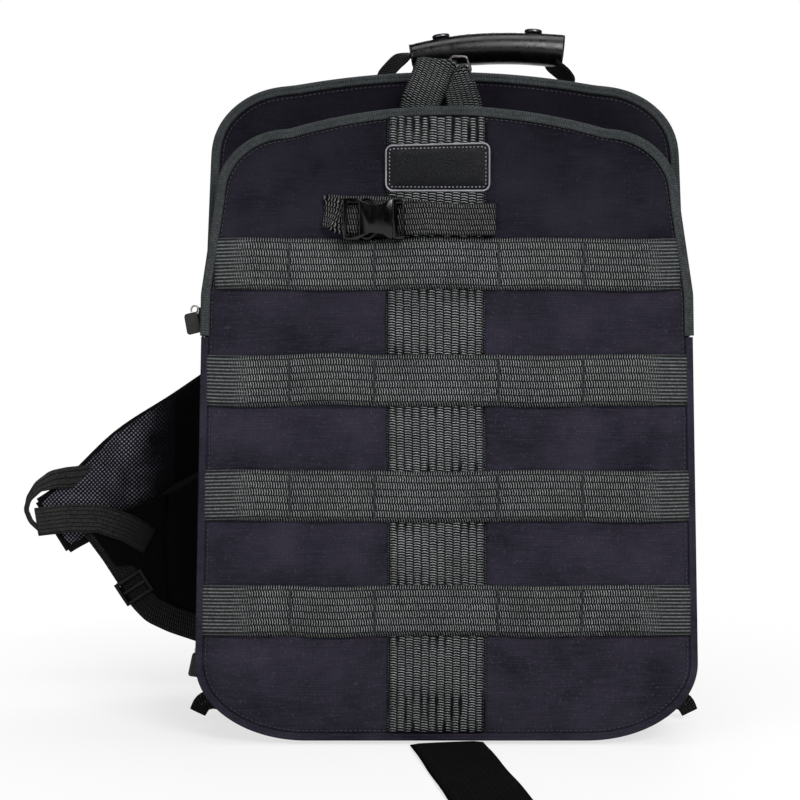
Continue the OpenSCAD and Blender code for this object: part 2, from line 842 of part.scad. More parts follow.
// Three bar adjuster, lying in the plane of the strap and turned about Y
module ladder_lock(at, turn) {
    color(plastic) translate(at) rotate([0, turn, 0]) difference() {
        plate(rounded(narrow_w + 5, 20, 3), -3, 3);
        for (z = [-4.6, 4.6])
            box([-narrow_w / 2 - 0.5, -4, z - 2.4], [narrow_w / 2 + 0.5, 4, z + 2.4]);
    }
}

module ladder_lock_left() ladder_lock(lock_left, -33);
module ladder_lock_right() ladder_lock(lock_right, -3);

module adjuster_left() {
    color(web) strap(adjuster_left_path, narrow_w, narrow_w, web_t);
}

module adjuster_right() {
    color(web) strap(adjuster_right_path, narrow_w, narrow_w, web_t);
}

// ---- Hip wings ----

wing_low_z = 44;
wing_reach = 120;
wing_pivot = [lumbar_w / 2 + gap, back_face_y + pad_t + gap];
wing_tuck = 60;

// Wing that reaches out from the side of the lumbar pad and fills the space under the strap
module wing() {
    h = wing_h;
    r = wing_reach;
    t = wing_top;
    points = [[0, 0], [r * 0.45, 2], [r * 0.85, 14], [r, 26], [r, t - 60], [r * 0.95, t - 52],
              [r * 0.67, t - 34], [r * 0.45, t - 16], [r * 0.31, t - 5], [12, t], [8, t - 2],
              [7, h - 2], [0, h - 4]];
    translate([0, 0, wing_low_z]) plate(points, -wing_t, 0);
}

module hip_wing_left() {
    color(fabric) translate([-wing_pivot[0], wing_pivot[1], 0]) mirror([1, 0, 0]) wing();
}

module hip_wing_right() {
    color(fabric) translate([wing_pivot[0], wing_pivot[1], 0]) rotate([0, 0, wing_tuck]) wing();
}

main_shell();
back_panel();
base_panel();
foam_liner();
back_foam();
frame_sheet();
shelf_dividers();
middle_divider();
rear_piping();
main_zip_tape_rear();
back_pads();
lumbar_pad();
shoulder_yoke();
handle_anchors();
zip_end_tabs();
fold_gusset();
lid_panel();
main_binding();
main_zip_tape_front();
pocket_gusset();
front_panel();
lower_piping();
band_lower();
molle_row_1();
molle_row_2();
molle_row_3();
pocket_zip_tape();
organiser();
elastic_loops();
top_loop();
base_strap();
flap_panel();
flap_binding();
flap_zip_tape();
band_upper();
molle_row_4();
patch();
buckle_strap();
buckle_strap_slack();
buckle_socket();
buckle_plug();
loop_ring();
pocket_zip_slider();
pocket_zip_pull();
main_zip_slider();
main_zip_pull();
handle_webbing();
handle_wrap();
handle_snaps();
shoulder_pad_left();
strap_tail_left();
ladder_lock_left();
adjuster_left();
shoulder_pad_right();
strap_tail_right();
ladder_lock_right();
adjuster_right();
hip_wing_left();
hip_wing_right();
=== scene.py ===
"""Looks of the trauma backpack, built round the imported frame.

Helpers work in millimetres: X runs across the pack, and its front looks towards -Y.
"""
import math

import bmesh
import bpy
import numpy as np
from mathutils import Matrix, Vector, noise
from mathutils.geometry import delaunay_2d_cdt


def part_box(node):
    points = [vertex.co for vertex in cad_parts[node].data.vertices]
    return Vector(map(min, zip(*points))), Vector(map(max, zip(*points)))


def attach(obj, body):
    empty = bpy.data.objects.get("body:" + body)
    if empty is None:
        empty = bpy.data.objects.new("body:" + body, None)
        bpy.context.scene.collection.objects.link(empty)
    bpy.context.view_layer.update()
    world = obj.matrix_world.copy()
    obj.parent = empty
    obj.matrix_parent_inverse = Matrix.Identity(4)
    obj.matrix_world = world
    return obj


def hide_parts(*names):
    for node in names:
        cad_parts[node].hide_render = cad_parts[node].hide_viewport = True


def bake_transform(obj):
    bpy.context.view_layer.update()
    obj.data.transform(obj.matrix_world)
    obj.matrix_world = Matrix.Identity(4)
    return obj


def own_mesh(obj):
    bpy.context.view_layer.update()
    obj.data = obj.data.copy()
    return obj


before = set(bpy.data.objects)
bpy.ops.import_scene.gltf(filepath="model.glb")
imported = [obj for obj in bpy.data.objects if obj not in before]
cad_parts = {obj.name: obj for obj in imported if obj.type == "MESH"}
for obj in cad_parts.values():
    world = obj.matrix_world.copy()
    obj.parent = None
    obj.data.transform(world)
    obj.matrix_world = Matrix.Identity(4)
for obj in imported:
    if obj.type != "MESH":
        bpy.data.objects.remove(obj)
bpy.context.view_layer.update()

MM = 0.001
UP = np.array([0.0, 0.0, 1.0])
TOWARDS_BACK = np.array([0.0, 1.0, 0.0])


def cad_box(node):
    """Lowest and highest corner of a CAD node, in millimetres."""
    low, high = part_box(node)
    return np.array(low) / MM, np.array(high) / MM


# ---- Sizes, from the frame where it has them ----

HIP = cad_box("main_shell")[1][0]
BOTTOM = cad_box("main_shell")[0][2]
SPLIT_Y = cad_box("main_shell")[0][1]
BACK_IN_Y = cad_box("main_shell")[1][1]
BACK_Y = cad_box("back_panel")[1][1]
LID_FACE_Y = cad_box("lid_panel")[0][1]
LID_EDGE_Y = cad_box("lid_panel")[1][1]
FACE_Y = cad_box("front_panel")[0][1]
FACE_IN_Y = cad_box("front_panel")[1][1]
RIM_Y = cad_box("flap_panel")[1][1]
MAIN_TOP = cad_box("main_shell")[1][2]
POCKET_TOP = cad_box("flap_panel")[1][2]
FOLD_Z = (cad_box("front_panel")[1][2] + cad_box("flap_panel")[0][2]) / 2
WEB_T = cad_box("band_lower")[1][1] - cad_box("band_lower")[0][1]
# What the frame doesn't hold: round corners of the foot, height of the waist, lid board, inset of the lining
FOOT_W, FOOT_H, WAIST_Z = 72, 50, 300
LID_PANEL_T = 8
LINING = 9

# Waist half width, shoulder half width, shoulder height, corner width, corner height, top
MAIN = (163, 158.5, 396, 54, 45, MAIN_TOP)
POCKET = (160, 150, 364, 46, 42, POCKET_TOP)

ROWS = ["molle_row_1", "molle_row_2", "molle_row_3", "molle_row_4"]
ROW_H = cad_box(ROWS[0])[1][2] - cad_box(ROWS[0])[0][2]
ROW_Z = [sum(c[2] for c in cad_box(n)) / 2 for n in ROWS]
BAND_X0, BAND_X1 = cad_box("band_lower")[0][0], cad_box("band_lower")[1][0]
BAND_Z0, BAND_Z1 = cad_box("band_lower")[0][2], cad_box("band_upper")[1][2]
FOLD_BEND = ("lid", "flap", (0, 0, (FOLD_Z - 12) * MM), (0, 0, (FOLD_Z + 12) * MM))


# ---- Outline of the pack seen from the front ----


def half_outline(spec, inset):
    """Right half of an outline, from its foot to the middle of its top."""
    waist, shoulder, corner_z, corner_w, corner_h, top = spec
    a = np.linspace(0, math.pi / 2, 24)
    foot = np.c_[np.sin(a), -np.cos(a)] * [FOOT_W - inset, FOOT_H - inset]
    foot += [HIP - FOOT_W, BOTTOM + FOOT_H]
    corner = np.c_[np.cos(a), np.sin(a)] * [corner_w - inset, corner_h - inset]
    corner += [shoulder - corner_w, corner_z]
    x = (shoulder - corner_w) * np.linspace(1, 0, 16)[1:]
    drop = top - corner_z - corner_h
    crown = np.c_[x, top - drop * (x / (shoulder - corner_w)) ** 2 - inset]
    return np.vstack([foot, [[waist - inset, WAIST_Z]], corner, crown])


def lengths(points):
    """Length along a polyline at each of its points."""
    return np.r_[0, np.cumsum(np.linalg.norm(np.diff(points, axis=0), axis=1))]


def point_at(at, along, points):
    """Point of a polyline at a length along it."""
    return np.array([np.interp(at, along, column) for column in points.T])


def resample(points, count, closed=False):
    """Points at even distances along a polyline."""
    p = looped(points) if closed else np.asarray(points, float)
    s = lengths(p)
    at = np.linspace(0, s[-1], count + 1)[:-1] if closed else np.linspace(0, s[-1], count)
    return np.c_[tuple(np.interp(at, s, column) for column in p.T)]


def looped(points):
    """Points with the first one repeated at the end."""
    return np.vstack([points, points[:1]])


def outline(spec, inset=0.0, count=480):
    """Closed outline from the middle of the bottom, counterclockwise from the front, with soft kinks."""
    h = half_outline(spec, inset)
    p = resample(np.vstack([[[0, BOTTOM + inset]], h, (h * [-1, 1])[::-1][1:]]), count, closed=True)
    for _ in range(3):
        p = (np.roll(p, 1, 0) + p + np.roll(p, -1, 0)) / 3
    return p


def unbroken(p, keep):
    """Indices of the run of an outline's points that keep picks, in order."""
    mask = keep(p)
    start = int(np.argmax(mask & ~np.roll(mask, 1)))
    return [(start + k) % len(p) for k in range(int(mask.sum()))]


def upright(xz, y):
    """Points in space from (x, z) points and their depths."""
    return np.c_[xz[:, 0], np.broadcast_to(y, len(xz)), xz[:, 1]]


def round_angles(count):
    return np.linspace(0, 2 * math.pi, count, endpoint=False)


def oval(width, height, count):
    """Points of an ellipse from its half width and half height."""
    return [(width * math.cos(a), height * math.sin(a)) for a in round_angles(count)]


def outward(p):
    """Outward normals of a closed counterclockwise outline."""
    t = np.roll(p, -1, 0) - np.roll(p, 1, 0)
    n = np.c_[t[:, 1], -t[:, 0]]
    return n / np.linalg.norm(n, axis=1)[:, None]


def edge_distance(xz, border):
    """Distance of each point from a closed outline."""
    return np.array([np.min(np.hypot(*(border - q).T)) for q in xz])


def ramp(x, a, b):
    """Smooth step from 0 at a to 1 at b."""
    t = np.clip((np.asarray(x, float) - a) / (b - a), 0, 1)
    return t * t * (3 - 2 * t)


def cloth_noise(points, scale, seed=0.0):
    """Soft noise from -1 to 1 at each point. scale is the size of its folds in millimetres."""
    shift = Vector((seed, -seed, seed))
    return np.array([noise.fractal(Vector(p) / scale + shift, 0.9, 2.1, 3) for p in points])


# ---- Meshes ----

LOOKS = {}


def place(obj, slot, body, nodes=(), look=None):
    """Gives a piece its material, hangs it on its body and hides its CAD nodes. body is a name, or the four
    values of a bend; the bend values are not used, and the piece only has its transform baked in.
    """
    if look is not False:
        obj.data.materials.append(LOOKS[look or slot])
    if isinstance(body, tuple):
        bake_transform(obj)
    else:
        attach(obj, body)
    if nodes:
        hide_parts(*nodes)
    return obj


def make(name, verts, faces, uvs=None, smooth=True):
    """Mesh object from points in millimetres. uvs hold one pair for each face corner, in metres."""
    mesh = bpy.data.meshes.new(name)
    mesh.from_pydata((np.asarray(verts, float) * MM).tolist(), [], [list(map(int, f)) for f in faces])
    if uvs is not None:
        layer = mesh.uv_layers.new(name="cloth")
        layer.data.foreach_set("uv", np.asarray(uvs, np.float32).ravel())
    mesh.polygons.foreach_set("use_smooth", [smooth] * len(mesh.polygons))
    return add_object(name, mesh)


def add_object(name, data, location=(0, 0, 0)):
    obj = bpy.data.objects.new(name, data)
    obj.location = location
    bpy.context.scene.collection.objects.link(obj)
    return obj


def recalculate(obj):
    """Turns the faces of a closed mesh outwards."""
    bm = bmesh.new()
    bm.from_mesh(obj.data)
    bmesh.ops.recalc_face_normals(bm, faces=bm.faces)
    bm.to_mesh(obj.data)
    bm.free()
    return obj


def smoothed(obj):
    obj.data.polygons.foreach_set("use_smooth", [True] * len(obj.data.polygons))
    return obj


def thicken(obj, thickness):
    """Gives a sheet its thickness, behind its visible side."""
    m = obj.modifiers.new("Thickness", "SOLIDIFY")
    m.thickness = thickness * MM
    m.offset = -1
    m.use_quality_normals = True
    return obj


def quads(name, grid, wrap_u=False, wrap_v=False, uv=None, flip=False, caps=False):
    """Surface through an array of points (nu, nv, 3). Its UVs are lengths along both ways, in metres."""
    grid = np.asarray(grid, float)
    nu, nv = grid.shape[:2]
    if uv is None:
        du = np.linalg.norm(np.diff(grid, axis=0, append=grid[:1]), axis=2).mean(1)
        dv = np.linalg.norm(np.diff(grid, axis=1, append=grid[:, :1]), axis=2).mean(0)
        us, vs = np.r_[0, np.cumsum(du)] * MM, np.r_[0, np.cumsum(dv)] * MM
    else:
        us, vs = uv
    i, j = np.divmod(np.arange((nu - (not wrap_u)) * (nv - (not wrap_v))), nv - (not wrap_v))
    steps = [(0, 0), (1, 0), (1, 1), (0, 1)]
    if flip:
        steps = steps[::-1]
    faces = np.c_[tuple(((i + a) % nu) * nv + (j + b) % nv for a, b in steps)].tolist()
    uvs = np.stack([np.c_[us[i + a], vs[j + b]] for a, b in steps], axis=1).reshape(-1, 2)
    if caps:
        faces += [list(range(nv)), [(nu - 1) * nv + k for k in range(nv)][::-1]]
        uvs = np.vstack([uvs, np.zeros((2 * nv, 2))])
    return make(name, grid.reshape(-1, 3), faces, uvs)


def filled(border, spacing):
    """Even mesh of the inside of a closed outline: points (x, z) and triangles."""
    low, high = border.min(0), border.max(0)
    xs = np.arange(low[0] + spacing / 2, high[0], spacing)
    zs = np.arange(low[1] + spacing / 2, high[1], spacing)
    gx, gz = np.meshgrid(xs, zs)
    inner = np.c_[gx.ravel(), gz.ravel()]
    n = len(border)
    nxt = np.roll(border, -1, 0)
    inside = np.zeros(len(inner), bool)
    for (x0, z0), (x1, z1) in zip(border, nxt):
        crosses = (z0 > inner[:, 1]) != (z1 > inner[:, 1])
        if z0 != z1:
            inside ^= crosses & (inner[:, 0] < (x1 - x0) * (inner[:, 1] - z0) / (z1 - z0) + x0)
    inner = inner[inside]
    inner = inner[edge_distance(inner, border) > spacing * 0.45]
    points = [Vector(p) for p in np.vstack([border, inner])]
    out = delaunay_2d_cdt(points, [(k, (k + 1) % n) for k in range(n)], [], 1, 1e-5)
    return np.array([tuple(p) for p in out[0]]), out[2]


def sheet_mesh(name, xz, faces, y, back=False):
    """Upright sheet from (x, z) points and their depths. Its UVs are x and z in metres."""
    a, b, c = (xz[faces[0][k]] for k in range(3))
    faces_front = (b - a)[0] * (c - a)[1] - (b - a)[1] * (c - a)[0] > 0
    faces = [list(f)[::-1] if faces_front == back else list(f) for f in faces]
    return make(name, upright(xz, y), faces, xz[np.concatenate(faces)] * MM)


def frames(path, side):
    """Tangent, side and normal at each point of a path. side is a rough sideways direction."""
    path = np.asarray(path, float)
    t = np.gradient(path, axis=0)
    t /= np.linalg.norm(t, axis=1)[:, None]
    side = np.broadcast_to(np.asarray(side, float), path.shape)
    side = side - (side * t).sum(1)[:, None] * t
    side /= np.linalg.norm(side, axis=1)[:, None]
    return t, side, np.cross(side, t)


def crosswise(path):
    """Width direction of a strap that faces the front or back."""
    s = np.cross(np.gradient(np.asarray(path, float), axis=0), TOWARDS_BACK)
    return s / np.linalg.norm(s, axis=1)[:, None]

def smooth_path(points, count, rounds=2):
    """Even points on a soft curve through the corners of a polyline."""
    p = resample(np.asarray(points, float), count)
    for _ in range(rounds):
        q = p.copy()
        q[1:-1] = (p[:-2] + 2 * p[1:-1] + p[2:]) / 4
        p = q
    return p


def webbing(name, path, side, width, thick=None, across=9, crown=0.0):
    """Closed flat strap along a path. width may vary along it. crown lifts its middle."""
    path = np.asarray(path, float)
    thick = WEB_T if thick is None else thick
    _, s, n = frames(path, side)
    w = np.broadcast_to(np.asarray(width, float), len(path))[:, None] / 2
    k = np.linspace(-1, 1, across)
    round_edge = np.sqrt(np.clip(1 - np.abs(k) ** 10, 0, 1)) * 0.5 * thick
    section = list(zip(k, crown * (1 - k**2), round_edge))
    around = [(a, lift + r) for a, lift, r in section] + [(a, lift - r) for a, lift, r in section[-2:0:-1]]
    grid = np.stack([path + s * w * a + n * out for a, out in around], axis=1)
    half = float(np.mean(w))
    vs = np.r_[k * half, k[::-1][1:] * half] * MM
    return recalculate(quads(name, grid, wrap_v=True, uv=(lengths(path) * MM, vs), caps=True))


def tube(name, path, radius, sides=10, closed=False, side=(0.02, 0.05, 1.0), squash=1.0):
    """Round bar along a path. squash flattens or fattens it."""
    path = np.asarray(path, float)
    if closed:
        _, s, n = (v[2:-2] for v in frames(np.vstack([path[-2:], path, path[:2]]), side))
    else:
        _, s, n = frames(path, side)
    around = [math.cos(q) * s + squash * math.sin(q) * n for q in round_angles(sides)]
    grid = np.stack([path + radius * way for way in around], axis=1)
    return recalculate(quads(name, grid, wrap_u=closed, wrap_v=True, caps=not closed))


def rim_sweep(name, spec, profile, base_y, keep=None, inset=0.0, count=480):
    """Sweeps a closed profile of (outwards, backwards) points round an outline. keep picks its points."""
    p = outline(spec, inset, count)
    n = outward(p)
    if keep:
        order = unbroken(p, keep)
        p, n = p[order], n[order]
    grid = np.stack([upright(p + n * out, base_y + back) for out, back in profile], axis=1)
    return recalculate(quads(name, grid, wrap_u=not keep, wrap_v=True, caps=bool(keep)))


def joined(name, parts):
    """One mesh object from several, which are removed."""
    bm = bmesh.new()
    for o in parts:
        bm.from_mesh(o.data)
        bpy.data.objects.remove(o)
    mesh = bpy.data.meshes.new(name)
    bm.to_mesh(mesh)
    bm.free()
    return add_object(name, mesh)


STITCH_SIDES = 5
# Place along a thread and share of its radius there
STITCH_RINGS = ((-0.5, 0.35), (-0.25, 0.95), (0.25, 0.95), (0.5, 0.35))


def stitches(name, lines, pitch=3.0, length=2.1, radius=0.3, rise=0.1):
    """Short threads along several lines. Each line is (points, normals)."""
    verts, faces = [], []
    for points, normals in lines:
        points = np.asarray(points, float)
        normals = np.broadcast_to(np.asarray(normals, float), points.shape)
        s = lengths(points)
        for at in np.arange(pitch / 2, s[-1] - pitch / 4, pitch):
            c, n = point_at(at, s, points), point_at(at, s, normals)
            t = point_at(at + 0.5, s, points) - c
            t /= max(np.linalg.norm(t), 1e-9)
            b = np.cross(t, n)
            first = len(verts)
            for along, share in STITCH_RINGS:
                centre = c + t * along * length + n * (rise - 0.25 * radius * (abs(along) > 0.4))
                around = [math.cos(q) * b + math.sin(q) * n for q in round_angles(STITCH_SIDES)]
                verts.extend(centre + share * radius * way for way in around)
            for ring in range(len(STITCH_RINGS) - 1):
                low = first + ring * STITCH_SIDES
                for k in range(STITCH_SIDES):
                    p0, p1 = low + k, low + (k + 1) % STITCH_SIDES
                    faces.append((p0, p1, p1 + STITCH_SIDES, p0 + STITCH_SIDES))
            for ring in (0, len(STITCH_RINGS) - 1):
                faces.append([first + ring * STITCH_SIDES + k for k in range(STITCH_SIDES)])
    return recalculate(make(name, verts, faces))


def sew(name, lines, body, slot="webbing", look="thread", **thread):
    """Places stitches, in dark thread unless look says another."""
    return place(stitches(name, lines, **thread), slot, body, look=look)


def rounded_loop(w, h, r, count=16):
    """Round rectangle about the origin, counterclockwise."""
    points = []
    for q, (sx, sz) in enumerate(((1, 1), (-1, 1), (-1, -1), (1, -1))):
        a = np.linspace(q, q + 1, count) * math.pi / 2
        points.append(np.c_[sx * (w / 2 - r) + r * np.cos(a), sz * (h / 2 - r) + r * np.sin(a)])
    return np.vstack(points)


def plate(name, loop, low, high, bevel=0.6, segments=3, cutters=()):
    """Moulded plate standing between two depths, with rounded edges and openings cut through."""
    n = len(loop)
    faces = [list(range(n)), list(range(2 * n - 1, n - 1, -1))]
    faces += [(k, (k + 1) % n, n + (k + 1) % n, n + k) for k in range(n)]
    obj = recalculate(make(name, upright(np.tile(loop, (2, 1)), np.repeat([low, high], n)), faces))
    for cutter in cutters:
        m = obj.modifiers.new("Cut", "BOOLEAN")
        m.operation, m.solver, m.object = "DIFFERENCE", "EXACT", cutter
    if bevel:
        m = obj.modifiers.new("Round", "BEVEL")
        m.width, m.segments, m.limit_method = bevel * MM, segments, "ANGLE"
        m.angle_limit = math.radians(35)
    return settled(obj, cutters)


def settled(obj, spent=()):
    """Turns an object's modifiers into its mesh and removes what they used."""
    graph = bpy.context.evaluated_depsgraph_get()
    graph.update()
    mesh = bpy.data.meshes.new_from_object(obj.evaluated_get(graph))
    obj.modifiers.clear()
    obj.data = mesh
    smoothed(obj)
    mesh.set_sharp_from_angle(angle=math.radians(42))
    for o in spent:
        bpy.data.objects.remove(o)
    return obj


def block(name, low, high, bevel=0.6):
    """Box with rounded edges."""
    low, high = np.asarray(low, float), np.asarray(high, float)
    size, mid = high - low, (low + high) / 2
    loop = rounded_loop(size[0], size[2], min(size[0], size[2]) * 0.12, 3) + mid[[0, 2]]
    return plate(name, loop, low[1], high[1], bevel)


# ---- Cloth ----

# Frames that the cloth simulation runs for
SIM_FRAMES = 20


def inflate(obj, voxel, pressure, cap, way=TOWARDS_BACK):
    """Fills a closed soft piece by cloth simulation, which moves its points by up to cap along way."""
    m = obj.modifiers.new("Remesh", "REMESH")
    m.mode, m.voxel_size, m.use_smooth_shade = "VOXEL", voxel * MM, True
    smoothed(settled(obj))
    start = np.array([v.co for v in obj.data.vertices], float)
    cloth = obj.modifiers.new("Cloth", "CLOTH")
    cloth.settings.use_pressure = True
    cloth.settings.uniform_pressure_force = pressure
    cloth.settings.effector_weights.gravity = 0
    cloth.settings.quality = 5
    scene = bpy.context.scene
    scene.frame_start, scene.frame_end = 1, SIM_FRAMES
    for f in range(1, SIM_FRAMES + 1):
        scene.frame_set(f)
    graph = bpy.context.evaluated_depsgraph_get()
    mesh = obj.evaluated_get(graph).to_mesh()
    end = np.array([v.co for v in mesh.vertices], float)
    obj.evaluated_get(graph).to_mesh_clear()
    obj.modifiers.clear()
    scene.frame_set(1)
    move = ((end - start) @ way)[:, None] * way
    far = np.linalg.norm(move, axis=1)
    move *= np.minimum(1, cap * MM / np.maximum(far, 1e-9))[:, None]
    obj.data.vertices.foreach_set("co", (start + move).ravel())
    obj.data.update()
    m = obj.modifiers.new("Smooth", "SUBSURF")
    m.levels = m.render_levels = 1
    return settled(obj)


def soft_bar(name, path, side, width, thick, sides=20):
    """Closed padded strap with a rounded section along a path."""
    path = np.asarray(path, float)
    _, s, n = frames(path, side)
    w = np.broadcast_to(np.asarray(width, float), len(path))[:, None] / 2
    grid = []
    for q in round_angles(sides):
        out, up = (np.sign(c) * abs(c) ** 0.55 for c in (math.cos(q), math.sin(q)))
        grid.append(path + s * w * out + n * thick / 2 * up)
    return recalculate(quads(name, np.stack(grid, axis=1), wrap_v=True, caps=True))


# ---- Materials ----


class Value:
    """A value in a material. Arithmetic with it adds math nodes."""

    def __init__(self, look, socket):
        self.look, self.socket = look, socket

    def math(self, operation, other=0.0):
        return self.look.node("Math", {0: self, 1: other}, operation=operation)

    def __add__(self, other):
        return self.math("ADD", other)

    def __sub__(self, other):
        return self.math("SUBTRACT", other)

    def __rsub__(self, other):
        return self.look.node("Math", {0: other, 1: self}, operation="SUBTRACT")

    def __mul__(self, other):
        return self.math("MULTIPLY", other)

    def __truediv__(self, other):
        return self.math("DIVIDE", other)

    def __mod__(self, other):
        return self.math("MODULO", other)

    def __abs__(self):
        return self.math("ABSOLUTE")

    def sine(self):
        return self.math("SINE")

    def spread(self, low, high, a=0.0, b=1.0):
        """Runs from a at low to b at high and stays there beyond them."""
        return self.look.node("MapRange", {0: self, 1: low, 2: high, 3: a, 4: b}, clamp=True)


class Look:
    """A material and short ways to add nodes to it."""

    def __init__(self, name, roughness, sheen=0.0, coat=0.0, coat_roughness=0.3, specular=0.5, metallic=0.0):
        self.mat = bpy.data.materials.new(name)
        self.mat.use_nodes = True
        self.tree = self.mat.node_tree
        self.bsdf = self.tree.nodes["Principled BSDF"]
        for socket, value in (
            ("Roughness", roughness),
            ("Sheen Weight", sheen),
            ("Sheen Roughness", 0.4),
            ("Coat Weight", coat),
            ("Coat Roughness", coat_roughness),
            ("Specular IOR Level", specular),
            ("Metallic", metallic),
        ):
            self.bsdf.inputs[socket].default_value = value

    def feed(self, socket, value):
        """Links a value to a socket, or sets the socket to a plain number, vector or colour."""
        if isinstance(value, Value):
            self.tree.links.new(value.socket, socket)
        else:
            socket.default_value = value

    def node(self, kind, inputs=(), output=0, **settings):
        """Adds a node and returns one of its outputs."""
        n = self.tree.nodes.new("ShaderNode" + kind)
        for key, value in settings.items():
            setattr(n, key, value)
        for key, value in dict(inputs).items():
            self.feed(n.inputs[key], value)
        return Value(self, n.outputs[output])

    def mix(self, factor, a, b):
        a, b = ((*c, 1.0) if isinstance(c, tuple) else c for c in (a, b))
        return self.node("Mix", {0: factor, 6: a, 7: b}, 2, data_type="RGBA")

    def parts(self, vector):
        """The x, y and z of a vector."""
        first = self.node("SeparateXYZ", {0: vector})
        return [Value(self, socket) for socket in first.socket.node.outputs]

    def object_axes(self):
        """Object coordinates in millimetres, as x, y, z."""
        coord = self.node("TexCoord", output="Object")
        return self.parts(self.node("VectorMath", {0: coord, 3: 1000.0}, operation="SCALE"))

    def cloth_axes(self):
        """UV coordinates in millimetres, as along and across."""
        coord = self.node("UVMap", uv_map="cloth")
        return self.parts(self.node("VectorMath", {0: coord, 3: 1000.0}, operation="SCALE"))[:2]

    def facing_back(self):
        """How much a face looks towards the back, from -1 to 1."""
        return self.parts(self.node("TexCoord", output="Normal"))[1]

    def noise(self, size, detail=3.0, stretch=(1, 1, 1)):
        """Noise from 0 to 1 in object space, with features of about size millimetres."""
        coord = self.node("TexCoord", output="Object")
        scale = tuple(1000.0 / size / k for k in stretch)
        scaled = self.node("VectorMath", {0: coord, 1: scale}, operation="MULTIPLY")
        return self.node("TexNoise", {"Vector": scaled, "Scale": 1.0, "Detail": detail, "Roughness": 0.6})

    def finish(self, colour, height, depth, roughness=None):
        """Links colour, bump (depth in millimetres) and roughness."""
        self.feed(self.bsdf.inputs["Base Color"], colour)
        bump = self.node("Bump", {"Distance": depth * MM, "Height": height})
        self.feed(self.bsdf.inputs["Normal"], bump)
        if roughness is not None:
            self.feed(self.bsdf.inputs["Roughness"], roughness)
        return self.mat


def tinted(colour, share):
    return tuple(share * c for c in colour)


def plain_weave(u, v, pitch):
    """Height of a plain weave from 0 to 1: threads cross over and under each other."""
    a, b = ((w * (math.pi / pitch)).sine() for w in (u, v))
    over = (a * b).spread(-0.25, 0.25)
    return abs(a) * over + abs(b) * (1.0 - over)


def fabric(name, colour, pale, pitch=1.05, depth=0.12, uv=True, deep=None, behind=None):
    """Strong plain woven fabric with slubs, faded patches and lint.

    deep holds two heights between which it gets darker, as painted shade towards the top. behind is the
    colour of faces that look back; faces that look to the front keep colour, which is then painted shade.
    """
    look = Look(name, roughness=0.85, sheen=0.01, specular=0.03)
    if uv:
        u, v = look.cloth_axes()
    else:
        x, y, v = look.object_axes()
        u = x + y
    weave = plain_weave(u, v, pitch)
    patches = look.noise(42, 5).spread(0.34, 0.66)
    slubs = look.noise(3.2, 2, (6, 6, 0.35)).spread(0.42, 0.72)
    lint = look.noise(1.5, 1).spread(0.6, 0.8)
    tone = look.mix(patches, colour, pale)
    tone = look.mix(slubs * 0.35, tone, tinted(pale, 1.5))
    tone = look.mix(lint * 0.5, tone, tinted(pale, 2.6))
    tone = look.mix(weave.spread(0.1, 0.8, 0.55, 0.0), tone, tinted(colour, 0.3))
    # Painted shade: faces that look to the front keep the darker colour, faces that look back get the paler
    # behind colour
    if behind:
        rear = look.mix(weave.spread(0.1, 0.8, 0.5, 0.0), behind, tinted(behind, 0.3))
        tone = look.mix(look.facing_back().spread(-0.1, 0.4), tone, rear)
    # Painted shade: the fabric darkens towards the top between the deep heights, standing in for less light
    # there
    if deep:
        height = look.object_axes()[2] + look.noise(70, 2).spread(0, 1, -30, 30)
        tone = look.mix(height.spread(*deep, 0.0, 0.78), tone, tinted(colour, 0.25))
    return look.finish(tone, weave + slubs * 0.5, depth, patches.spread(0, 1, 0.78, 0.92))


def strap_weave(name, light, dark, column, dash, parting=False, slant=0.25, ends=None, fading=None):
    """Heavy webbing: columns of raised dashes across its length, every second one brighter.

    parting darkens gaps between the columns, in noisy patches, beside the load rows and near the band's foot.
    ends holds two distances from the middle between which ribs take the place of dashes. fading holds two
    places along X between which it gets dark, as painted shade.
    """
    look = Look(name, roughness=0.6, sheen=0.004, specular=0.04)
    u, v = look.cloth_axes()
    columns = v / column
    inside = columns.math("FRACT")
    odd = abs(columns.math("FLOOR") % 2.0) * 0.5
    bend = (inside - 0.5) * (inside - 0.5)
    at = u / dash + (odd + (inside * slant + bend * 1.3)) + look.noise(5.0, 2).spread(0.0, 1.0, -0.2, 0.2)
    raised = (at * (2 * math.pi)).sine().spread(0.15, 0.95)
    second = abs((at * math.pi + math.pi / 4).sine()).spread(0.2, 0.8, 0.38, 1.0)
    edge = abs(inside * 2.0 - 1.0)
    fade = look.noise(28, 3).spread(0.3, 0.7, 0.66, 1.15)
    fuzz = look.noise(1.3, 2).spread(0.3, 0.75, 0.4, 1.25)
    strength = raised * second * edge.spread(0.97, 0.7) * (fade * fuzz)
    if ends:
        ribs = (columns * (4 * math.pi)).sine().spread(0.0, 0.9, 0.05, 0.42)
        folded = abs(look.object_axes()[0]) + look.noise(12, 2).spread(0, 1, -6, 6)
        strength = look.node("Mix", {0: folded.spread(*ends), 2: strength, 3: ribs * fuzz})
    # Darkens gaps between the columns, in noisy patches, beside the load rows and near the band's foot
    if parting:
        z = look.object_axes()[2]
        step = (ROW_Z[-1] - ROW_Z[0]) / 3
        from_row = abs((z + (10 * step - ROW_Z[0] + step / 2)) % step - step / 2)
        near = from_row.spread(ROW_H / 2 + 11, ROW_H / 2 + 1)
        foot = z.spread(BAND_Z0 + 26, BAND_Z0 + 6)
        dark_gaps = near.math("MAXIMUM", foot) * look.noise(9, 2, (0.6, 1, 3)).spread(0.42, 0.58)
        strength = strength * (1.0 - dark_gaps * edge.spread(0.35, 0.6))
    # Painted shade: the webbing darkens along X towards the pack, where it runs into shade
    if fading:
        strength = strength * look.object_axes()[0].spread(*fading, 1.0, 0.08)
    tone = look.mix(strength, dark, light)
    return look.finish(tone, strength, 0.3, strength.spread(0, 1, 0.85, 0.5))


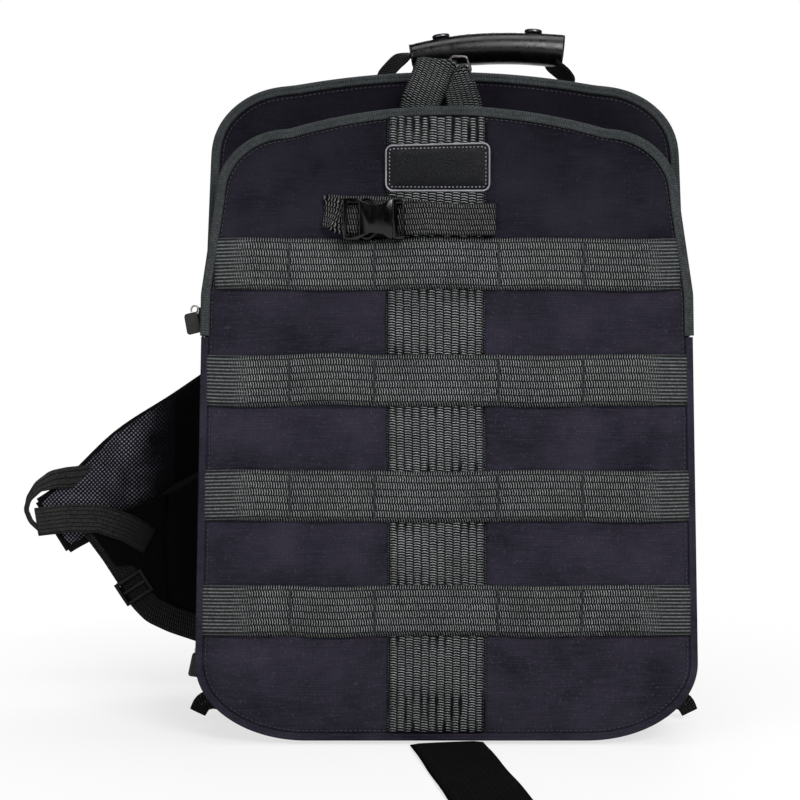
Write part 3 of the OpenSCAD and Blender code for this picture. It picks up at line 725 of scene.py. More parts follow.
def grosgrain(name, light, dark, rib=1.1):
    """Ribbed edge tape."""
    look = Look(name, roughness=0.75, sheen=0.02, specular=0.06)
    u, v = look.cloth_axes()
    ribs = ((u / rib + look.noise(4, 2).spread(0, 1, -0.5, 0.5)) * (2 * math.pi)).sine()
    lines = (v / 0.9 * (2 * math.pi)).sine()
    weave = ribs.spread(-0.8, 0.8, 0.25, 1.0) * lines.spread(-1, 1, 0.55, 1.0)
    fade = look.noise(16, 3).spread(0.3, 0.7, 0.6, 1.1)
    fuzz = look.noise(1.6, 3).spread(0.3, 0.7, 0.45, 1.2)
    strength = weave * (fade * fuzz)
    return look.finish(look.mix(strength, dark, light), strength, 0.3)


def hide(name, colour, wear_and_highlight, grain, roughness, coat=0.0, depth=0.07, specular=0.5):
    """Leather with grain, pores and noisy patches of a second colour: wear on most leathers, painted
    highlight on the patch rim.
    """
    look = Look(name, roughness=roughness, coat=coat, coat_roughness=0.28, specular=specular)
    cells = {"Vector": look.node("TexCoord", output="Object"), "Scale": 1000.0 / grain}
    creases = look.node("TexVoronoi", cells, "Distance", feature="DISTANCE_TO_EDGE").spread(0.0, 0.22)
    soft = look.noise(9, 4)
    tone = look.mix(look.noise(22, 5).spread(0.5, 0.75) * 0.5, colour, wear_and_highlight)
    tone = look.mix(creases.spread(0, 1, 0.4, 0.0), tone, tinted(colour, 0.4))
    gloss = soft.spread(0.3, 0.7, roughness - 0.06, roughness + 0.14)
    return look.finish(tone, creases + soft * 0.6, depth, gloss)


def moulded(name, colour, roughness, coat=0.0, specular=0.5):
    """Moulded plastic or thread with fine scuffs."""
    look = Look(name, roughness=roughness, coat=coat, coat_roughness=0.1, specular=specular)
    scuffs = look.noise(6, 6, (1, 1, 4)).spread(0.45, 0.7)
    tone = look.mix(scuffs * 0.25, colour, tuple(3 * c + 0.001 for c in colour))
    return look.finish(tone, look.noise(0.6, 2), 0.012, scuffs.spread(0, 1, roughness, roughness + 0.14))


def plated(name, colour, roughness=0.25):
    """Plated metal with small scratches and tarnish."""
    look = Look(name, roughness=roughness, metallic=1.0)
    tarnish = look.noise(5, 5).spread(0.45, 0.75)
    tone = look.mix(tarnish * 0.6, colour, tinted(colour, 0.35))
    gloss = tarnish.spread(0, 1, roughness, roughness + 0.25)
    return look.finish(tone, look.noise(1.2, 3, (1, 1, 12)), 0.01, gloss)


def air_mesh(name, light, dark, cell=4.2, fading=None):
    """Knitted spacer mesh: rows of raised knots with open diamonds between them."""
    look = Look(name, roughness=0.75, sheen=0.01, specular=0.05)
    x, _, z = look.object_axes()
    bend = look.noise(30, 2).spread(0, 1, -3, 3)
    a, b = (abs((way * (math.pi / cell)).sine()) for way in (x + z + bend, x + bend - z))
    knots = (a * b).spread(0.3, 0.75)
    strength = knots * look.noise(40, 3).spread(0.3, 0.7, 0.35, 1.1)
    # Painted shade: the mesh darkens towards the pack, along a slant and again past x -238 mm, where it lies
    # in shade
    if fading:
        near = x + (z * -0.45 + look.noise(26, 3).spread(0.2, 0.8, -34, 34))
        strength = strength * near.spread(*fading, 1.0, 0.04) * x.spread(-238, -207, 1.0, 0.02)
    return look.finish(look.mix(strength, dark, light), knots, 0.9)


def foam_skin(name, colour, pale):
    """Brushed lining fabric over foam."""
    look = Look(name, roughness=0.95, sheen=0.5, specular=0.15)
    nap = look.noise(0.8, 3)
    cloud = look.noise(50, 4).spread(0.3, 0.7)
    return look.finish(look.mix(cloud * 0.5 + nap * 0.5, colour, pale), nap + cloud, 0.25)


def add_look(kind, name, *colours, **settings):
    LOOKS[name] = kind(name, *colours, **settings)


NAVY = (0.0110, 0.0098, 0.0158)
NAVY_PALE = (0.0285, 0.0258, 0.0385)
# Shell fabric with painted shade that darkens it from 250 mm to 450 mm up
add_look(fabric, "shell_fabric", NAVY, NAVY_PALE, deep=(250, 450))
add_look(fabric, "base_fabric", (0.012, 0.012, 0.013), (0.022, 0.022, 0.024), pitch=1.2, depth=0.2)
add_look(fabric, "inner_fabric", (0.10, 0.105, 0.115), (0.15, 0.155, 0.165), pitch=0.6)
add_look(fabric, "inner_board", (0.05, 0.052, 0.058), (0.08, 0.083, 0.09), pitch=0.9, uv=False)
add_look(fabric, "back_fabric", (0.014, 0.013, 0.017), (0.026, 0.025, 0.031), pitch=1.0)
# The pad shell is near black on faces that look to the front, as painted shade, and paler on faces that look
# back
PAD_CLOTH = dict(behind=(0.024, 0.024, 0.0275), pitch=1.0, depth=0.2, uv=False)
add_look(fabric, "pad_shell", (0.0010, 0.0010, 0.0012), (0.0022, 0.0022, 0.0025), **PAD_CLOTH)
add_look(foam_skin, "lining_foam", (0.085, 0.09, 0.10), (0.14, 0.145, 0.155))
add_look(air_mesh, "pad_fabric", (0.13, 0.13, 0.17), (0.003, 0.003, 0.004))
# Left pad mesh, with painted shade towards the pack
add_look(air_mesh, "pad_mesh", (0.20, 0.20, 0.25), (0.002, 0.002, 0.003), cell=3.3, fading=(-335, -295))
# The tail webbing darkens towards the pack as painted shade
TAIL_WEAVE = dict(slant=0.1, fading=(-262, -222))
for name, light, dark, column, dash, more in (
    ("webbing", (0.30, 0.32, 0.32), (0.004, 0.004, 0.0045), 4.7, 1.66, dict(ends=(128, 143))),
    ("band_webbing", (0.33, 0.348, 0.35), (0.004, 0.004, 0.0045), 5.25, 1.72, dict(parting=True)),
    ("narrow_webbing", (0.19, 0.193, 0.193), (0.002, 0.002, 0.002), 3.6, 1.6, {}),
    ("strap_dark", (0.045, 0.045, 0.045), (0.003, 0.003, 0.003), 3.4, 1.7, {}),
    ("loop_webbing", (0.19, 0.20, 0.20), (0.003, 0.003, 0.0035), 3.4, 1.45, {}),
    ("lash_webbing", (0.013, 0.013, 0.013), (0.0015, 0.0015, 0.0015), 3.4, 1.7, {}),
    ("tail_webbing", (0.12, 0.12, 0.117), (0.004, 0.004, 0.004), 3.1, 0.85, TAIL_WEAVE),
):
    add_look(strap_weave, name, light, dark, column, dash, **more)
add_look(grosgrain, "binding_tape", (0.082, 0.092, 0.095), (0.007, 0.008, 0.009))
add_look(grosgrain, "zip_tape", (0.03, 0.03, 0.033), (0.010, 0.010, 0.011), rib=0.8)
add_look(grosgrain, "hem_tape", (0.006, 0.006, 0.0065), (0.0015, 0.0015, 0.0015))
SMOOTH_GRAIN = dict(depth=0.012, specular=0.4)
for name, colour, wear_and_highlight, grain, roughness, more in (
    ("leather", (0.0025, 0.0028, 0.0042), (0.010, 0.011, 0.016), 1.1, 0.32, dict(specular=0.11)),
    ("wrap_leather", (0.0016, 0.0013, 0.0018), (0.004, 0.003, 0.005), 0.8, 0.25, SMOOTH_GRAIN),
    # The patch rim: black leather coloured pale grey as a painted highlight
    ("polished_leather", (0.20, 0.20, 0.22), (0.62, 0.62, 0.68), 1.4, 0.3, dict(coat=0.5)),
    ("pull_leather", (0.005, 0.0038, 0.0034), (0.022, 0.014, 0.010), 0.7, 0.36, dict(specular=0.3)),
):
    add_look(hide, name, colour, wear_and_highlight, grain, roughness, **more)
add_look(moulded, "zip_teeth", (0.012, 0.012, 0.013), 0.35, coat=0.1)
add_look(moulded, "thread", (0.022, 0.022, 0.026), 0.6)
add_look(moulded, "dark_thread", (0.006, 0.004, 0.005), 0.7, specular=0.1)
add_look(moulded, "pale_thread", (0.17, 0.17, 0.19), 0.6)
add_look(moulded, "buckle_plastic", (0.0010, 0.0010, 0.0012), 0.11, specular=0.38)
add_look(moulded, "lock_plastic", (0.0015, 0.0015, 0.0018), 0.45, specular=0.15)
add_look(plated, "dark_metal", (0.10, 0.10, 0.11), roughness=0.35)
add_look(plated, "pull_metal", (0.42, 0.40, 0.40))
add_look(plated, "bright_metal", (0.13, 0.115, 0.118))


# ---- Front pocket ----

FRONT = np.array([0.0, -1.0, 0.0])


def held_down(x, z):
    """1 where webbing holds the fabric flat, 0 where it is free."""
    rows = np.min([np.abs(z - c) - ROW_H / 2 for c in ROW_Z], axis=0)
    band = np.maximum(BAND_X0 - x, x - BAND_X1)
    on_band = (z > BAND_Z0) & (z < BAND_Z1)
    by_row = 1 - ramp(rows, 1, 15)
    by_band = np.where(on_band, 1 - ramp(band, 0, 20), 0)
    return np.maximum(by_row, by_band)


def flat_noise(xz, scale, seed=0.0):
    """Soft noise for the points of an upright sheet."""
    return cloth_noise(np.c_[xz, xz[:, :1]], scale, seed)


def front_face():
    """Face of the pocket in one piece across the fold line, puffed between the rows."""
    border = outline(POCKET, 0.6)
    xz, faces = filled(border, 3.4)
    x, z = xz.T
    d = edge_distance(xz, border)
    free = 1 - held_down(x, z)
    shape = np.c_[x, z, np.zeros(len(x))]
    slant = np.c_[x + 0.7 * z * np.sign(x), 0.35 * z, np.zeros(len(x))]
    folds = cloth_noise(slant, 34, 3.1) * (0.5 + 1.6 * ramp(-z, -80, -40)) + 0.5 * cloth_noise(shape, 60, 8.0)
    puff = 2.6 * free * ramp(d, 0, 26) + 1.1 * folds * free * ramp(d, 3, 14)
    y = FACE_Y - np.clip(puff, 0, 6) + 1.6 * (1 - ramp(d, 0, 9))
    face = thicken(sheet_mesh("front_face", xz, faces, y), 1.0)
    place(face, "shell_fabric", FOLD_BEND, ("front_panel", "flap_panel"))
    xz, faces = filled(outline(POCKET, 3), 8)
    lining = sheet_mesh("pocket_lining", xz, faces, FACE_IN_Y + 0.4 * flat_noise(xz, 40), back=True)
    place(thicken(lining, 1.0), "inner_fabric", FOLD_BEND)


def band():
    """Upright band, tacked down under each row."""
    z = np.linspace(BAND_Z0, BAND_Z1, 150)
    rows = np.min([np.abs(z - c) - ROW_H / 2 for c in ROW_Z], axis=0)
    lift = 0.7 * ramp(rows, 2, 18)
    x = (BAND_X0 + BAND_X1) / 2 + 0.7 * np.sin(z / 60)
    path = np.c_[x, FACE_Y - WEB_T / 2 - lift, z]
    strap = webbing("band", path, (1, 0, 0), BAND_X1 - BAND_X0 - 0.8, across=15, crown=0.5)
    place(strap, "band_webbing", FOLD_BEND, ("band_lower", "band_upper"))
    lines = [(path + [s * (BAND_X1 - BAND_X0 - 4) / 2, -WEB_T / 2 - 0.1, 0], FRONT) for s in (-1, 1)]
    sew("band_stitches", lines, FOLD_BEND, rise=0.0)


TACK_GAP, TACK_STEP = 8, 56
# How far each loop of a row stands off, and how far its upper edge rises, from left to right
LOOP_PUFF = (
    (2.0, 1.5, 1.0, 1.8, 2.0),
    (1.7, 2.1, 0.8, 1.6, 2.1),
    (1.6, 3.4, 0.9, 1.9, 1.7),
    (1.9, 1.7, 0.8, 1.7, 2.2),
)
LOOP_RISE = (
    (0.2, -0.8, 0.6, -0.4, 0.5),
    (0.8, 0.3, -0.5, 0.4, -0.3),
    (-0.5, 1.2, 0.2, -0.6, 0.3),
    (0.5, -0.2, 0.8, 0.4, -0.6),
)


def side_x(spec, z):
    """Half width of an outline at a height."""
    return float(np.interp(z, [BOTTOM + FOOT_H, WAIST_Z, spec[2]], [HIP, spec[0], spec[1]]))


def load_row(index, body):
    """One row of webbing: loops between tacks, the ends folded into the side seams."""
    z0 = ROW_Z[index]
    end = side_x(POCKET, z0 + ROW_H / 2) - 1
    left, right = BAND_X0 - TACK_GAP, BAND_X1 + TACK_GAP
    tacks = [-end, left - TACK_STEP, left, right, right + TACK_STEP, end]
    path = []
    for k in range(5):
        u = np.linspace(0, 1, 16, endpoint=k == 4)
        flat = (WEB_T if k == 2 else 0) * (1 - (2 * u - 1) ** 8)
        loop = LOOP_PUFF[index][k] * (1 - np.abs(2 * u - 1) ** 2.4)
        rise = LOOP_RISE[index][k] * np.sin(math.pi * u)
        path.append(np.c_[tacks[k] + (tacks[k + 1] - tacks[k]) * u, -(flat + loop + WEB_T / 2), z0 + rise])
    path = np.vstack(path)
    path[:, 1] += FACE_Y + 0.8 * ramp(np.abs(path[:, 0]), end - 12, end)
    for _ in range(2):
        path[1:-1, 1] = (path[:-2, 1] + 2 * path[1:-1, 1] + path[2:, 1]) / 4
    strap = webbing(ROWS[index] + "_web", path, (0, 0, 1), ROW_H, crown=0.35)
    place(strap, "webbing", body, (ROWS[index],))
    name = ROWS[index] + "_tacks"
    z = np.linspace(z0 - ROW_H / 2 + 1.5, z0 + ROW_H / 2 - 1.5, 12)
    depth = FACE_Y - WEB_T - 0.35
    seams = [(upright(np.c_[x + 0.5 * np.sin(z / 5 + index), z], depth), FRONT) for x in tacks[1:-1]]
    sew(name, seams, body, look="dark_thread", pitch=2.3, length=1.9, radius=0.62, rise=0.15)
    z = np.linspace(z0 - ROW_H / 2 + 1, z0 + ROW_H / 2 - 1, 12)
    lines = []
    for x in tacks[1:-1]:
        depth = path[np.argmin(np.abs(path[:, 0] - x)), 1] - WEB_T / 2 - 0.3
        lines += [(upright(np.c_[np.full(12, x + dx), z], depth), FRONT) for dx in (-0.45, 0.45)]
    sew(name, lines, body, pitch=1.25, length=1.2, radius=0.42)


def puffed_wall(
    name, spec, y0, y1, puff, wrinkle, inset=0.0, steps=16, keep=None, inward=False, thickness=1.2, seed=0.0
):
    """Side wall of fabric round an outline, between two depths."""
    p = outline(spec, inset, 420)
    n = outward(p)
    if keep:
        order = unbroken(p, keep)
        p, n = p[order], n[order]
    foot = 1 - ramp(-n[:, 1], 0.55, 0.95)
    columns = []
    for t in np.linspace(0, 1, steps):
        here = upright(p, y0 + (y1 - y0) * t)
        folds = wrinkle * cloth_noise(here * [1, 1.6, 0.55], 42, seed) * (0.25 + 0.75 * foot)
        out = math.sin(math.pi * t) * (puff * foot + folds)
        if not inward:
            out = np.minimum(out, puff + wrinkle)
        here[:, [0, 2]] += n * out[:, None]
        here[:, 2] = np.maximum(here[:, 2], BOTTOM - 2.6)
        columns.append(here)
    return thicken(quads(name, np.stack(columns, axis=1), wrap_u=not keep, flip=not inward), thickness)


# Sections of a turned edge and a piping, as (outwards, backwards) points
ROLLED = [(-4.0, -0.1), (-3.6, -1.0), (-2.7, -1.5), (-1.7, -1.35), (-1.2, -1.1), (-0.7, -1.45), (0.4, -1.9)]
ROLLED += [(1.5, -1.5), (2.3, -0.2), (2.5, 1.6), (2.1, 3.3), (1.0, 4.4), (-0.4, 4.5)]
ROLLED += [(-1.6, 3.4), (-3.0, 1.4)]
PIPE = [(0.3 + out, 1.6 + back) for out, back in oval(2.2, 2.2, 12)]


def above_fold(p):
    return p[:, 1] > FOLD_Z


def below_fold(p):
    return p[:, 1] < FOLD_Z


def above_zip_end(p):
    return p[:, 1] > 22


TOOTH = ((-0.42, -0.2), (0.42, -0.2), (0.3, 0.75), (-0.3, 0.75))
TOOTH_FACES = ((0, 1, 2, 3), (7, 6, 5, 4), (0, 4, 5, 1), (1, 5, 6, 2), (2, 6, 7, 3), (3, 7, 4, 0))


def teeth(name, spec, y, way, keep, body):
    """Row of small coil teeth on one side of a split. A straight run joins its two ends."""
    p = outline(spec, -1.9, 1400)
    p = p[keep(p)]
    start = int(np.argmax(np.linalg.norm(np.diff(p, axis=0), axis=1))) + 1
    p = np.roll(p, -start, 0)
    s = lengths(p)
    verts, faces = [], []
    for at in np.arange(1, s[-1] - 1, 1.9):
        c = point_at(at, s, p)
        t = point_at(at + 1, s, p) - c
        t /= np.linalg.norm(t)
        n = np.array([t[1], -t[0]])
        first = len(verts)
        for deep in (0.15, 2.3):
            corners = (c + t * a * 1.5 + n * b for a, b in TOOTH)
            verts.extend((q[0], y + way * deep, q[1]) for q in corners)
        faces += [[first + k for k in f] for f in TOOTH_FACES]
    row = recalculate(make(name, verts, faces, smooth=False))
    return place(row, "zip_tape", body, look="zip_teeth")


def zip_side(name, spec, y, way, keep, body, nodes, width=9):
    """Tape and teeth on one side of a split."""
    profile = [(0.1, 0.0), (1.2, 0.05), (1.35, 0.6), (1.3, width - 0.8), (1.0, width), (0.1, width)]
    tape = rim_sweep(name, spec, [(o, way * b) for o, b in profile], y, keep)
    place(tape, "zip_tape", body, nodes)
    teeth(name + "_teeth", spec, y, way, keep, body)


def pocket_shell():
    """Side walls, edge bindings and zip of the front pocket."""
    rim_y, lip_y = RIM_Y + 0.6, FACE_IN_Y - 2
    wall = puffed_wall("pocket_wall", POCKET, rim_y, LID_FACE_Y, 1.6, 1.5, seed=2.0)
    place(wall, "shell_fabric", "lid", ("pocket_gusset",))
    collar = puffed_wall("pocket_collar", POCKET, lip_y, rim_y, 0.2, 0.2, steps=4, keep=below_fold)
    place(collar, "shell_fabric", "lid")
    rim = puffed_wall("flap_rim", POCKET, lip_y, RIM_Y, 0.2, 0.2, steps=4, keep=above_fold)
    place(rim, "shell_fabric", "flap")
    inner = puffed_wall("pocket_inner_wall", POCKET, rim_y, LID_FACE_Y, 0, 0.5, 2.6, steps=8, inward=True)
    place(inner, "inner_fabric", "lid")
    edge = rim_sweep("flap_edge", POCKET, ROLLED, FACE_Y, above_fold, count=1400)
    place(edge, "binding_tape", "flap", ("flap_binding",))
    thin = [(out * 0.8 - 0.2, back * 0.9 + 0.4) for out, back in ROLLED]
    lower = rim_sweep("pocket_piping", POCKET, thin, FACE_Y, below_fold, count=1400)
    place(lower, "shell_fabric", "lid", ("lower_piping",))
    zip_side("pocket_zip_upper", POCKET, rim_y, 1, above_fold, "lid", ("pocket_zip_tape",))
    zip_side("pocket_zip_lower", POCKET, RIM_Y, -1, above_fold, "flap", ("flap_zip_tape",), width=7)
    p = outline(POCKET, 5.2)
    for name, keep, body in (("flap_seam", above_fold, "flap"), ("face_seam", below_fold, "lid")):
        run = p[unbroken(p, keep)]
        sew(name, [(upright(run, FACE_Y - 0.1), FRONT)], body, "shell_fabric", pitch=3.2)


# ---- Patch and buckle strap ----


def patch():
    """Bare leather patch with a raised rim, coloured pale grey as a painted highlight, and a sewn border."""
    low, high = cad_box("patch")
    mid, size = (low + high) / 2, high - low
    front, rear = low[1], high[1]

    def ring_points(inset, y):
        loop = rounded_loop(size[0] - 2 * inset, size[2] - 2 * inset, max(5 - inset, 0.8), 10)
        u, v = loop[:, 0] / size[0], loop[:, 1] / size[2]
        top_sag = -1.9 * (0.5 - u) * (v > 0) * np.abs(v) * 2
        sag = top_sag - 1.1 * (1 - (2 * u) ** 2) * (v < 0) * np.abs(v) * 2
        return np.c_[mid[0] + loop[:, 0], np.full(len(loop), y), mid[2] + loop[:, 1] + sag]

    rim = [(0.0, rear), (0.0, front + 0.6), (0.15, front), (0.45, front - 0.4), (0.85, front - 0.4)]
    rim += [(1.2, front + 0.1), (1.3, rear)]
    rim = np.array([ring_points(*step) for step in rim])
    frame_edge = recalculate(quads("patch_rim", rim, wrap_u=True, wrap_v=True))
    place(frame_edge, "leather", "flap", look="polished_leather")
    field = [(1.2, rear - 0.2), (1.2, front + 0.9), (2.0, front + 0.6), (3.2, front + 0.6)]
    field += [(4.4, front + 0.15), (7, front - 0.05), (11, front - 0.15)]
    grid = np.array([ring_points(*step) for step in field])
    body = quads("patch_field", grid, wrap_v=True)
    bm = bmesh.new()
    bm.from_mesh(body.data)
    bm.verts.ensure_lookup_table()
    bm.faces.new(bm.verts[-grid.shape[1] :])
    bm.to_mesh(body.data)
    bm.free()
    place(recalculate(body), "leather", "flap", ("patch",))
    lines = [(looped(ring_points(3.0, front + 0.4)), FRONT)]
    sew("patch_stitches", lines, "flap", "leather", "pale_thread", pitch=2.5, length=1.3, radius=0.42)


PLUG_TRAVEL = 18


def buckle_strap():
    """Narrow strap round the band: the back layer, its folded left end, and the loose front layer."""
    low, high = cad_box("buckle_strap")
    width = high[2] - low[2] - 6
    z = low[2] + width / 2
    back_y, front_y = high[1] - WEB_T / 2, low[1] + WEB_T / 2
    left, right = low[0], high[0]
    socket = cad_box("buckle_socket")[0][0]
    window = socket + 6
    fold_z = z + 5.8
    path = [
        (right - 2, back_y, z),
        (right - 34, back_y, z + 1.2),
        (-20, back_y, z + 4),
        (left + 14, back_y, fold_z),
        (left + 3, back_y - 0.2, fold_z + 0.4),
        (left + 0.6, (back_y + front_y) / 2, fold_z),
        (left + 2, front_y - 0.6, fold_z - 0.4),
        (left + 9, front_y - 0.9, fold_z - 2.4),
        (socket - 3, front_y - 1.0, z + 0.6),
        (window - 2, front_y - 2.5, z),
        (window + 4, front_y - 2.6, z),
        (window + 7, front_y, z),
    ]
    strap = webbing("buckle_strap_web", smooth_path(path, 90, 3), (0.04, 0, 1), width, crown=0.3)
    place(strap, "webbing", "flap", ("buckle_strap",), look="narrow_webbing")
    x, y = cad_box("buckle_strap_slack")[0][:2]
    path = [
        (x - 5, y - 1.8, z),
        (x + 3, y - 1.2, z),
        (x + 14, y - 1.6, z + 0.6),
        (right - 24, y - 1.4, z - 0.4),
        (right - 6, y - 0.2, z),
        (right - 0.9, y + 1.6, z),
        (right - 4, back_y, z),
    ]
    slack = webbing("buckle_slack_web", smooth_path(path, 60, 2), (0, 0, 1), width, crown=0.3)
    place(slack, "webbing", "flap", ("buckle_strap_slack",), look="narrow_webbing")
    kept = 1 - PLUG_TRAVEL / (right - x + 5)
    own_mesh(slack)


# Upper half of the socket's outline, as shares of its size
SOCKET = [(-0.5, 0.47), (-0.42, 0.5), (-0.2, 0.5), (-0.12, 0.43)]
SOCKET += [(0.05, 0.33), (0.3, 0.36), (0.44, 0.47), (0.5, 0.47)]


def buckle():
    """Side release buckle: socket with a strap slot and side openings, plug with two sprung arms."""
    low, high = cad_box("buckle_socket")
    mid, size = (low + high) / 2, high - low
    y0, y1 = low[1], high[1]
    loop = [(mid[0] + x * size[0], mid[2] + z * size[2]) for x, z in SOCKET]
    loop = np.array(loop + [(x, 2 * mid[2] - z) for x, z in loop[::-1]])[::-1]
    slot = block("cut_slot", (low[0] + 2.6, y0 - 2, low[2] + 3), (low[0] + 10.5, y1 + 2, high[2] - 3), 0)
    mouth = block("cut_mouth", (low[0] + 14, y0 + 2.2, low[2] + 2.8), (high[0] + 3, y1 - 2, high[2] - 2.8), 0)
    socket = plate("buckle_socket_shell", loop, y0, y1, 0.9, 3, (slot, mouth))
    place(socket, "buckle_plastic", "flap", ("buckle_socket",))
    x0, x1 = high[0] + 0.3, cad_box("buckle_plug")[1][0]
    frame_loop = rounded_loop(x1 - x0, size[2] - 1, 2.2, 6) + [(x0 + x1) / 2, mid[2]]
    opening = block("cut_plug", (x0 + 2.4, y0 - 3, low[2] + 3.4), (x1 - 1.6, y1 + 3, high[2] - 3.4), 0)
    parts = [plate("plug_frame", frame_loop, y0 + 0.4, y1 - 0.5, 0.9, 3, (opening,))]
    middle_y = (y0 + y1) / 2
    arm = np.array([(0, 5.4), (-6, 6.2), (-12, 8.6), (-17.5, 12.6), (-21, 11.4), (-22.5, 8.8)])
    for side in (-1, 1):
        path = upright(np.c_[x0 + 1 + arm[:, 0], mid[2] + side * arm[:, 1]], middle_y)
        parts.append(soft_bar("arm", smooth_path(path, 22, 1), (0, 1, 0), 4.2, 3.0, 12))
    prong = [(x0 + dx, middle_y, mid[2]) for dx in (1, -8, -15)]
    parts.append(soft_bar("prong", prong, (0, 1, 0), 3.6, 5.0, 12))
    plug = smoothed(joined("buckle_plug_shell", parts))
    plug.data.set_sharp_from_angle(angle=math.radians(45))
    place(plug, "buckle_plastic", "plug", ("buckle_plug",))


# ---- Lid ----


def lid():
    """Padded face of the lid, its edge binding, zip and inside."""
    border = outline(MAIN, 0.8)
    xz, faces = filled(border, 5)
    d = edge_distance(xz, border)
    swell = 1.6 + 0.9 * cloth_noise(np.c_[xz, np.zeros(len(xz))], 45, 5.0)
    bulge = swell * ramp(d, 2, 14) * ramp(xz[:, 1], POCKET_TOP - 24, POCKET_TOP)
    face = sheet_mesh("lid_face", xz, faces, LID_FACE_Y - bulge + 1.2 * (1 - ramp(d, 0, 7)))
    place(thicken(face, 1.2), "shell_fabric", "lid", ("lid_panel",))
    rim = puffed_wall("lid_rim", MAIN, LID_FACE_Y + 3, LID_EDGE_Y, 0.2, 0.2, steps=4)
    place(rim, "shell_fabric", "lid")
    xz, faces = filled(outline(MAIN, LINING), 8)
    pillow = 1.2 * np.sin(math.pi * xz[:, 1] / 90) ** 2 + 0.5 * flat_noise(xz, 50, 9.0)
    inner_y = LID_FACE_Y + LID_PANEL_T + 0.2
    inside = sheet_mesh("lid_lining", xz, faces, inner_y + np.clip(pillow, 0, 2), back=True)
    place(thicken(inside, 1.0), "inner_fabric", "lid")
    edge = rim_sweep("lid_inner_edge", MAIN, oval(4.3, 2.6, 14), LID_EDGE_Y - 2.9, inset=4.6)
    place(edge, "lining_foam", "lid")
    place(rim_sweep("lid_edge", MAIN, ROLLED, LID_FACE_Y - 0.2), "binding_tape", "lid", ("main_binding",))
    zip_side("main_zip_front", MAIN, LID_EDGE_Y, -1, above_zip_end, "lid", ("main_zip_tape_front",), width=8)
    p = outline(MAIN, 6)
    run = p[p[:, 1] > 300]
    sew("lid_seam", [(upright(run, LID_FACE_Y - 0.3), FRONT)], "lid", "shell_fabric", pitch=3.2)
    low, high = cad_box("elastic_loops")
    rows = []
    for k in range(3):
        z = high[2] - 19 - k * (high[2] - low[2] - 38) / 2
        x = np.linspace(low[0], high[0], 120)
        y = high[1] - 1.2 + 2.4 * np.abs(np.sin(math.pi * (x - low[0]) / (high[0] - low[0]) * 6)) ** 0.8
        rows.append(webbing("elastic", np.c_[x, y, np.full(len(x), z)], (0, 0, -1), 38, thick=1.2))
    place(joined("elastic_rows", rows), "webbing", "lid", ("elastic_loops",), look="strap_dark")


def organiser():
    """Pleated pouches sewn to the lid inside the front pocket."""
    low, high = cad_box("organiser")
    back_y = high[1] - 1.4
    panel = block("organiser_back", (low[0], back_y, low[2]), (high[0], high[1] - 0.2, high[2]), 0.5)
    place(panel, "inner_fabric", "lid", ("organiser",), look="inner_board")
    pouches, hems = [], []
    u, v = np.meshgrid(np.linspace(0, 1, 26), np.linspace(0, 1, 14), indexing="ij")
    out = 5.6 * (1 - np.abs(2 * u - 1) ** 5) * (0.45 + 0.55 * v) * (1 - (1 - v) ** 6)
    for count, width, z0, z1 in ((2, 118, low[2] + 2, low[2] + 110), (3, 76, low[2] + 130, low[2] + 210)):
        for k in range(count):
            x0 = (k - (count - 1) / 2) * (width + 8) - width / 2
            grid = np.stack([x0 + width * u, back_y - out, z0 + (z1 - z0) * v], axis=2)
            pouches.append(settled(thicken(quads("pouch", grid), 0.9)))
            hems.append(tube("hem", grid[:, -1], 1.1, 8))
    pouch = smoothed(joined("organiser_pouches", pouches))
    place(pouch, "inner_fabric", "lid", look="inner_board")
    place(joined("organiser_hems", hems), "binding_tape", "lid", look="hem_tape")


def top_loop():
    """Two leaning legs of webbing behind the pocket's top edge, with a wire ring."""
    low, high = cad_box("top_loop")
    y, z0, z1 = low[1] + 1.2, low[2], high[2]
    left = [(-19, y + 1, z0 - 3), (-17, y, z0 + 8), (-12, y - 0.4, z0 + 20)]
    left += [(-6.6, y + 1, z1 - 0.2), (-5.4, y + 3.5, z1 + 2.2), (-8, y + 5.2, z1 - 5)]
    leg = webbing("loop_left", smooth_path(left, 40), (1, 0.0, -0.04), 26.5, crown=0.6)
    place(leg, "webbing", "lid", ("top_loop",), look="loop_webbing")
    right = [(13, y + 5, z0 - 3), (11.5, y + 4.4, z0 + 8), (8.5, y + 3.4, z0 + 18)]
    right += [(5, y + 4, z1 - 7.5), (3, y + 6, z1 - 6)]
    leg = webbing("loop_right", smooth_path(right, 34), (1, 0.0, 0.3), np.linspace(26, 22, 34), crown=0.5)
    place(leg, "webbing", "lid", look="loop_webbing")
    low, high = cad_box("loop_ring")
    w, pivot = (high[0] - low[0]) / 2 - 1.1, np.array([(low[0] + high[0]) / 2, high[1] - 1.1, low[2] + 1.1])
    h, lean = high[2] - low[2] - 2.2, low[1] - high[1] + 2.2
    corners = np.array([(-w, 0, 0), (w, 0, 0), (w - 3, lean, h), (-w + 3, lean, h)])
    loop = []
    for before, corner, after in zip(np.roll(corners, 1, 0), corners, np.roll(corners, -1, 0)):
        e0, e1 = (corner + (p - corner) / np.linalg.norm(p - corner) * 2.6 for p in (before, after))
        loop += [(1 - t) ** 2 * e0 + 2 * t * (1 - t) * corner + t * t * e1 for t in np.linspace(0, 1, 7)]
    path = resample(np.array(loop), 64, closed=True) + pivot
    ring = tube("wire_ring", path, 1.05, 10, closed=True, side=(0, 1, 0.05))
    place(ring, "bright_metal", "strap_ring", ("loop_ring",))

